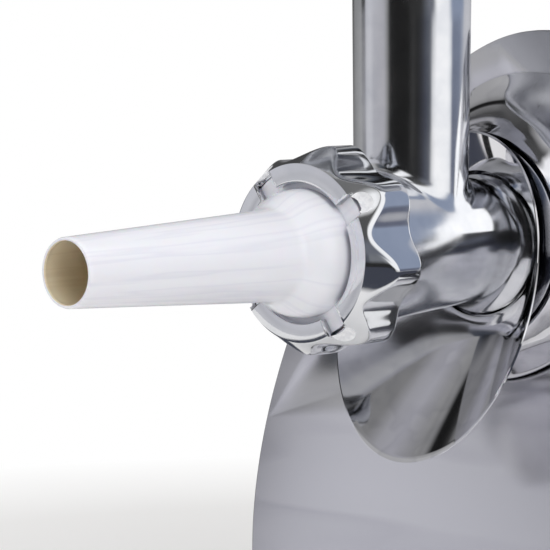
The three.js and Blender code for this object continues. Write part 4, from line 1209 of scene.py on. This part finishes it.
def feed_screw():
    """Turned shaft with a square stud, a helical flight and a hexagonal tang."""
    start, end, pitch = 17, 97, 25
    turns = (end - start - 4) / pitch
    core = [(0, 7.4), (3.6, 7.4), (4.1, 8), (4.15, start), (9, start), (9.5, start + 0.6)]
    core += [(9.5 + 4 * i / 12, start + 1 + (end - start - 1) * i / 12) for i in range(1, 13)]
    core += [(13.5, 98.5), (13, 99), (9.2, 99), (9.2, 112.1), (8.7, 112.6), (0, 112.6)]
    shaft = turned("screw_shaft", core, 96)
    flight = grown(
        "screw_flight", as_flight, Turns=turns, Pitch=pitch * MM, Root_Radius=8 * MM, Rim_Radius=22.2 * MM,
        Root_Width=4.6 * MM, Rim_Width=2.6 * MM, Start=place(0, start + 2, 0), Finish=cast,
    )
    stud = bevelled(prism("screw_stud", 4, 8.4, 11.9, start + 1), 0.5)
    tang = bevelled(prism("screw_tang", 6, 13, 112, 136), 0.6)
    return joined("feed_screw_skin", shaft, flight, stud, tang)


def prism(name, sides, across, start, end):
    """A bar with flats along the head's axis."""
    radius = across / 2 / math.cos(math.pi / sides)
    angles = [TURN * (i + 0.5) / sides for i in range(sides)]
    rows = [[(radius * math.cos(a), s, radius * math.sin(a)) for a in angles] for s in (start, end)]
    return sheet_of_rows(name, rows, False)


def mincing_plate():
    """A ground plate with eighteen chamfered holes in two circles and an eye for the screw's pin."""
    front, back = 6.9, 11.6
    rim = [(30.5, front), (30.85, front + 0.1), (31, front + 0.45), (31, back - 0.45), (30.85, back - 0.1)]
    plate = turned("mincing_plate_skin", [(0, front), *rim, (30.5, back), (0, back)], 192)
    drill = [(0, front - 1), (4.6, front - 1), (4.6, front + 0.15), (4.0, front + 0.6)]
    drill += [(4.0, back - 0.6), (4.6, back - 0.15), (4.6, back + 1), (0, back + 1)]
    tools = [turned("eye", [(0, front - 1), (4.5, front - 1), (4.5, back + 1), (0, back + 1)], 48)]
    for count, radius in ((6, 12.2), (12, 22.6)):
        bit = at_origin(turned("drill", drill, 40))
        bit.data.transform(Matrix.Rotation(math.radians(-90), 4, "X"))
        holes = grown(
            "holes", round_circle, stamp=bit, Count=count, Radius=radius * MM,
            Lean=(math.radians(90), 0.0, 0.0), Centre=place(0, 0, 0), Finish=tool_steel,
        )
        tools.append(holes)
    return combined(plate, tools, "DIFFERENCE")


# The neck with its clamp, the tray and the pusher


def neck_collar():
    """The socket that holds the head's spigot, bored for the clamp screw."""
    profile = [
        (30.3, 105), (31, 104.3), (39.7, 104.3), (40.25, 104.5), (40.5, 105), (40.5, 139.2), (40, 139.7),
        (16, 139.7), (15.5, 139.2), (15.5, 132.2), (16, 131.7), (30.3, 131.7),
    ]
    collar = turned("neck_collar_skin", profile, 192)
    screw = side_drill("screw_way", 3.4, (-60, -20))
    pocket = side_drill("pad_pocket", 5.6, (-37.5, -20))
    return combined(collar, [screw, pocket], "DIFFERENCE")


def clamp_knob():
    """A fluted grip on a threaded screw."""
    crest, pitch, steps = 3.0, 1.25, 48
    rows = []
    count = 270
    for i in range(count + 1):
        x = -62 + 27 * i / count
        cut = 0.42 * min(1, i / 20)
        row = []
        for angle in turns_of(steps):
            wave = abs(((x / pitch + angle / TURN) % 1) * 2 - 1)
            radius = crest - cut * wave - max(0, (x + 36) * 0.6)
            row.append((x, CLAMP_S + radius * math.cos(angle), radius * math.sin(angle)))
        rows.append(row)
    screw = second_finish(sheet_of_rows("clamp_screw", rows, False, smooth=50))
    profile = rounded(
        [(0, -80), (8.5, -80), (10.5, -77), (10.5, -66), (6, -64), (6, -60), (0, -60)],
        [0, 1.5, 1.5, 1, 1, 0.5, 0],
    )
    grip = sideways_turned("clamp_grip", profile, CLAMP_S, 0)
    flute = upright_turned("flute", [(0, -10), (1.15, -10), (1.15, 10), (0, 10)], 24, 0, 0)
    flutes = grown(
        "flutes", round_circle, stamp=at_origin(flute), Count=18, Radius=11 * MM,
        Lean=(0.0, math.radians(90), 0.0), Centre=place(-71.5, CLAMP_S, 0), Finish=cast,
    )
    combined(grip, [flutes], "DIFFERENCE")
    return joined("clamp_knob_skin", screw, grip)


def clamp_pad():
    """The screw's soft tip, a small puck that bears on the spigot."""
    profile = rounded([(0, -34.6), (5.2, -34.6), (5.2, -30.8), (0, -30.8)], [0, 0.6, 0.6, 0])
    return sideways_turned("clamp_pad_skin", profile, CLAMP_S, 0, 64)


def hopper_tray():
    """Pressed tray: a spigot that plugs into the chute, a rounded oblong bowl and a turned-down rim."""
    low, high, middle = TRAY_LOW, 142.3, 84
    half_width, half_depth, throat = 103, 75, 23.2

    def row(radius, z, spread=0, outset=0):
        """A loop round the tray, from a circle at no spread to the oblong rim at full spread."""
        points = []
        for angle in turns_of(288):
            c, d = math.cos(angle), math.sin(angle)
            x = (half_width + outset) * math.copysign(abs(c) ** 0.5, c)
            s = middle + (half_depth + outset) * math.copysign(abs(d) ** 0.5, d)
            round_s = CHUTE_S + radius * d
            points.append((radius * c * (1 - spread) + x * spread, round_s * (1 - spread) + s * spread, z))
        return points

    wall = [(0.6, low + 1), (0.66, low + 2.2), (0.74, low + 6), (0.84, low + 16), (0.925, high - 4.6)]
    shoulder = [(0.94, high - 3.4), (0.965, high - 3), (1, high - 3)]
    brim = [(1, high - 0.5), (0.997, high - 0.12), (0.99, high), (0.975, high - 0.05), (0.958, high - 0.7)]
    inner = [(0.945, high - 2.6), (0.85, low + 17), (0.755, low + 8.6), (0.69, low + 4.3), (0.62, low + 2.8)]
    spigot = [(18.7, low - 14), (19.2, low - 14), (19.4, low - 13.5), (19.4, low), (throat, low)]
    mouth = [(20.4, low + 2.1), (18.9, low + 1.6), (18.4, low + 0.6), (18.4, low - 13.7)]
    rows = [row(radius, z) for radius, z in spigot]
    rows.append(row(throat, low + 0.7, 0.3))
    rows += [row(throat, z, spread) for spread, z in [*curve_through(wall, 5), *shoulder, *brim]]
    rows += [row(throat, z, spread, -TRAY_SHEET) for spread, z in curve_through(inner, 5)]
    rows.append(row(throat, low + 2.3, 0.3))
    rows += [row(radius, z) for radius, z in mouth]
    return sheet_of_rows("hopper_tray_skin", rows, smooth=40)


def food_pusher():
    """One moulding: plunger, guard flange, waisted grip with ribs and a domed end."""
    foot, lift = 62, 2.4
    collar = TRAY_LOW + TRAY_SHEET + lift
    profile = rounded(
        [
            (0, foot), (16.4, foot), (17.9, foot + 3), (17.9, collar), (26, collar), (27, collar + 2),
            (26, collar + 5), (15, collar + 9), (13.5, collar + 30), (16, collar + 44), (21, collar + 50),
            (21, collar + 55), (17, collar + 59), (0, collar + 61),
        ],
        [0, 2, 2, 1.5, 1, 2, 3, 6, 14, 8, 4, 4, 5, 0],
    )
    body = upright_turned("pusher_body", profile, 128)
    rib = block("rib", (-0.9, 0.9), (-0.9, 0.9), (-9, 9), 0.7)
    ribs = grown(
        "ribs", round_circle, stamp=at_origin(rib), Count=16, Radius=13.75 * MM,
        Lean=(0.0, 0.0, 0.0), Centre=place(0, CHUTE_S, collar + 27), Finish=white_plastic,
    )
    return joined("food_pusher_skin", body, ribs)


# The housing, lofted from the front panel's egg shape to a smaller one at its rear


REAR = {"half_width": 84, "half_height": 118, "z": -86}
SHELL = {"front": 110.3, "end": 298, "wall": 3}
COVER_SCREWS = [(-56, 0, -24), (56, 0, -24), (-66, 0, -132), (66, 0, -132)]


def section_at(share, inset=0):
    """The egg shape at a share of the housing's length, drawn in by an inset."""
    ease = math.copysign(abs(share) ** 1.6, share)

    def between(key):
        """A measure that runs from the panel's to the rear's."""
        return PANEL[key] + (REAR[key] - PANEL[key]) * ease

    return {
        "s": SHELL["front"] + (SHELL["end"] - SHELL["front"]) * share,
        "z": between("z"),
        "half_width": between("half_width") - inset,
        "half_height": between("half_height") - inset,
        "lean": math.radians(PANEL["tilt"] * max(0, 1 - share)),
    }


def section_point(section, angle):
    """A point of an egg shape, at an angle from its right side."""
    up = section["half_height"] * math.sin(angle)
    width = section["half_width"] * (1 - PANEL["taper"] * math.sin(angle))
    return (
        width * math.cos(angle),
        section["s"] + up * math.sin(section["lean"]),
        section["z"] + up * math.cos(section["lean"]),
    )


def floor_angle(section, floor):
    """The angle at which an egg shape meets a level."""
    return math.asin((floor - section["z"]) / math.cos(section["lean"]) / section["half_height"])


def arch(share, inset, steps=140):
    """The housing's outline at one place along it, from one foot over the top to the other."""
    section = section_at(share, inset)
    low = floor_angle(section, BODY_BOTTOM)
    return [section_point(section, low + (math.pi - 2 * low) * i / steps) for i in range(steps + 1)]


def housing_shell():
    """A smooth shell, open below, in front and behind, with screw bosses and openings at its side."""
    last = SHELL["end"] - SHELL["front"]
    stations = [(0, 0.5), (0.25 / last, 0.15), (0.6 / last, 0)]
    stations += [(i / 26, 0) for i in range(1, 26)]
    stations += [(1 - 0.8 / last, 0), (1 - 0.3 / last, 0.2), (1, 0.7)]
    rows = []
    for share, inset in stations:
        rows.append([*arch(share, inset), *reversed(arch(share, SHELL["wall"]))])
    shell = sheet_of_rows("housing_shell_skin", rows, False, smooth=30)
    window = block("rocker_window", (60, 140), (198.7, 229.3), (-73.3, -50.7))
    button = side_drill("button_hole", 11.3, (60, 140), 64, **REVERSE)
    combined(shell, [window, button], "DIFFERENCE")
    boss_profile = [(1.9, 282), (7, 282), (7, 297.6), (6.6, 298), (1.9, 298)]
    boss = turned("boss", boss_profile, 48)
    bosses = repeated("bosses", boss, COVER_SCREWS, silver_abs)
    webs = []
    for (x, _, z), reach in zip(COVER_SCREWS, (65, 65, 81, 81)):
        across = sorted((math.copysign(abs(x) + 4, x), math.copysign(reach, x)))
        webs.append(block("web", across, (283, 297), (z - 1.5, z + 1.5)))
    return joined("housing_shell_skin", shell, bosses, *webs)


def rear_cover():
    """The back plate: seven graded vents, sunk screw holes, and openings for the inlet and reset."""
    start, end = 298.3, 303.2
    edge = (
        (start, 0.3), (start + 0.3, 0), (end - 1.6, 0), (end - 0.8, 0.25), (end - 0.2, 0.9), (end, 1.8),
        (end, 2.4),
    )
    span = SHELL["end"] - SHELL["front"]
    rows = [arch((s - SHELL["front"]) / span, inset, 160) for s, inset in edge]
    cover = sheet_of_rows("rear_cover_skin", rows, False, smooth=30)
    half_slot = 44
    slot = at_origin(block("slot", (-half_slot, half_slot), (290, 310), (-1.8, 1.8), 1.2))
    slots = grown(
        "slots", in_slots, stamp=slot, Count=7, Start=place(0, 0, -102), Step=(0.0, 0.0, 12 * MM),
        Middle=3.0, Shrink=4 / half_slot, Finish=silver_abs,
    )
    sunk = [(0, 290), (2.3, 290), (2.3, 300.8), (4, 300.8), (4, 302.7), (4.6, 303.4), (0, 303.4)]
    holes = repeated("holes", turned("screw_hole", sunk, 40), COVER_SCREWS, silver_abs)
    inlet = block("inlet_hole", (24.2, 51.8), (290, 310), (-138.3, -117.7))
    reset = moved_to_reset(turned("reset_hole", [(0, 290), (4.3, 290), (4.3, 310), (0, 310)], 48))
    combined(cover, [slots, holes, inlet, reset], "DIFFERENCE")
    # The flat back is shaded flat, so that its shading doesn't bend round the openings.
    for face in cover.data.polygons:
        if face.normal.y > 0.9995:
            face.use_smooth = False
    return cover


def cover_screws():
    """Four pan-head screws with a cross recess."""
    profile = [
        (0, 288), (1.1, 288), (1.6, 289.4), (1.6, 301.2), (3.6, 301.2), (3.6, 301.7), (3.3, 302.3),
        (2.4, 302.75), (1.2, 302.9), (0, 302.9),
    ]
    screw = turned("screw", profile, 48)
    bars = [
        block("cross", (-2.1, 2.1), (301.7, 304), (-0.45, 0.45)),
        block("cross", (-0.45, 0.45), (301.7, 304), (-2.1, 2.1)),
    ]
    combined(screw, bars, "DIFFERENCE")
    return repeated("cover_screws_skin", screw, COVER_SCREWS, brushed)


# The base, the feet and the controls


def base_plate():
    """The plinth under the housing, with rounded upper and lower edges."""
    top, thick, plinth, rear = BODY_BOTTOM - GAP, 4, 2, 303
    low = top - thick
    side = []
    for i in range(49):
        section = section_at(i / 48)
        x, s, _ = section_point(section, floor_angle(section, BODY_BOTTOM))
        side.append([x + plinth, s])
    side[0][1] -= PANEL["thick"] + plinth + 1
    side[-1][1] = rear
    edge = ((low, 0.8), (low + 0.3, 0.2), (low + 0.8, 0), (top - 0.8, 0), (top - 0.3, 0.2), (top, 0.8))
    rows = []
    for z, inset in edge:
        right = [(x - inset, min(max(s, side[0][1] + inset), rear - inset), z) for x, s in side]
        rows.append([*right, *[(-x, s, z) for x, s, z in reversed(right)]])
    return sheet_of_rows("base_plate_skin", rows, False, smooth=30)


def feet():
    """Four rubber feet with a hollow under each."""
    profile = rounded(
        [(0, -176.8), (6.5, -176.8), (7, -178), (10, -178), (11, -176.5), (11, -169.6), (0, -169.6)],
        [0, 0.4, 0.4, 0.8, 0.8, 0.5, 0],
    )
    spots = [(-88, 112, 0), (88, 112, 0), (-62, 278, 0), (62, 278, 0)]
    return repeated("feet_skin", upright_turned("foot", profile, 64, 0, 0), spots, rubber)


def rocker():
    """The switch's rocking key, with a raised bar and ring for on and off."""
    key = eased("rocker", 0.5)
    ring = [(1.5, -0.5), (2.1, -0.5), (2.1, 0.1), (1.95, 0.2), (1.65, 0.2), (1.5, 0.1)]
    marks = [
        (sideways_turned("ring_mark", ring, 0, 0, 48), 94.0, 209.0, -6.8),
        (block("bar_mark", (-0.5, 0.2), (-0.3, 0.3), (-2.2, 2.2), 0.1), 95.9, 218.3, -17.0),
    ]
    for mark, x, s, turn in marks:
        second_finish(at_origin(mark))
        placed = Matrix.Translation(place(x, s, REVERSE["z"])) @ Matrix.Rotation(math.radians(turn), 4, "Z")
        mark.data.transform(placed)
    return joined("rocker_skin", key, *[mark[0] for mark in marks])


def reverse_button():
    """The button that runs the screw backwards, dished for a fingertip."""
    profile = rounded([(0, 78), (8, 78), (8, 99), (5, 98.2), (0, 98.2)], [0, 0.5, 1, 2, 0])
    return sideways_turned("reverse_button_skin", profile, **REVERSE)


def reverse_bezel():
    """The ring in the housing's side that the reverse button slides in."""
    profile = rounded([(8.3, 70), (11, 70), (11, 95), (8.3, 95)], [0.3, 0.3, 0.9, 0.5])
    return sideways_turned("reverse_bezel_skin", profile, **REVERSE)


def moved_to_reset(piece):
    """Moves a piece turned about the head's axis to the reset button's axis."""
    piece.data.transform(Matrix.Translation((RESET["x"] * MM, 0, RESET["z"] * MM)))
    return piece


def reset_button():
    """The overload reset in the rear cover, dished and almost flush."""
    profile = rounded([(0, 292), (4, 292), (4, 302.6), (2.5, 302.2), (0, 302.2)], [0, 0.3, 0.8, 1, 0])
    return moved_to_reset(turned("reset_button_skin", profile, 64))


def mains_inlet():
    """A socket well with three flat pins."""
    body = block("mains_inlet_skin", (24.5, 51.5), (282, 303), (-138, -118), 0.8)
    well = block("well", (26.5, 49.5), (286, 310), (-136, -120), 0)
    combined(body, [well], "DIFFERENCE")
    pins = []
    for x, z in ((31.5, -129.5), (38, -125.5), (44.5, -129.5)):
        pins.append(second_finish(block("pin", (x - 1, x + 1), (285.5, 300.2), (z - 2, z + 2), 0.4)))
    return joined("mains_inlet_skin", body, *pins)


# The studio, then each piece with its body, its finish and the solids it replaces

view()
paper()
lamps()
cards()
surroundings()
finish(sausage_tube(), "tube", "white_plastic", white_plastic, "sausage_tube", inner=bore_painted_warm_light)
finish(ring_nut(), "ring", "polished_ring", polished_ring, "ring_nut", inner=blasted_ring_highlight)
finish(splash_dish(), "head", "mirror_steel", dish_steel, "splash_dish")
finish(grinder_head(), "head", "polished_head", polished_head, "grinder_head")
finish(front_panel(), "base", "mirror_steel", satin, "front_panel")
finish(neck_cover(), "base", "mirror_steel", mirror, "neck_cover")
finish(neck_collar(), "base", "cast_aluminium", mirror, "neck_collar")
finish(mincing_plate(), "head", "hard_steel", tool_steel, "mincing_plate")
finish(feed_screw(), "screw", "cast_aluminium", cast, "feed_screw")
finish(hopper_tray(), "tray", "stainless", brushed, "hopper_tray")
finish(food_pusher(), "pusher", "white_plastic", white_plastic, "food_pusher")
finish(clamp_knob(), "knob", "dark_plastic", dark_abs, "clamp_knob", inner=brushed)
finish(clamp_pad(), "pad", "nylon", nylon, "clamp_pad")
finish(housing_shell(), "base", "silver_plastic", silver_abs, "housing_shell")
finish(rear_cover(), "base", "dark_plastic", dark_abs, "rear_cover")
finish(cover_screws(), "base", "stainless", brushed, *[f"cover_screw_{i}" for i in (1, 2, 3, 4)])
finish(base_plate(), "base", "dark_plastic", dark_abs, "base_plate")
finish(feet(), "base", "rubber", rubber, *[f"foot_{i}" for i in (1, 2, 3, 4)])
finish(rocker(), "rocker", "dark_plastic", dark_abs, "rocker", inner=white_plastic)
finish(reverse_bezel(), "base", "dark_plastic", dark_abs, "reverse_bezel")
finish(reverse_button(), "reverse", "silver_plastic", silver_abs, "reverse_button")
finish(reset_button(), "reset", "dark_plastic", dark_abs, "reset_button")
finish(mains_inlet(), "base", "dark_plastic", dark_abs, "mains_inlet", inner=brushed)

# The pieces inside and the switch's body keep their shape and have their edges broken
EASED = (
    ("hard_steel", tool_steel, 0.3, ("knife", "second_axle", "first_axle")),
    ("nylon", nylon, 0.25, ("thrust_washer", "fan")),
    ("cast_aluminium", cast, 0.6, ("gearbox_case", "gearbox_cover", "front_bracket", "rear_bracket")),
    ("gear_plastic", acetal, 0.2, ("output_gear", "second_gear", "first_gear")),
    ("brass", brass, 0.3, ("output_bearing",)),
    ("motor_steel", laminations, 0.3, ("armature", "stator")),
    ("copper", copper, 0.8, ("field_coil_top", "field_coil_bottom", "commutator")),
    ("dark_plastic", dark_abs, 0.4, ("brush_holder_left", "brush_holder_right", "switch_body")),
)
for slot, material, width, names in EASED:
    for name in names:
        finish(eased(name, width), frame["nodes"][name]["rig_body"], slot, material, name)
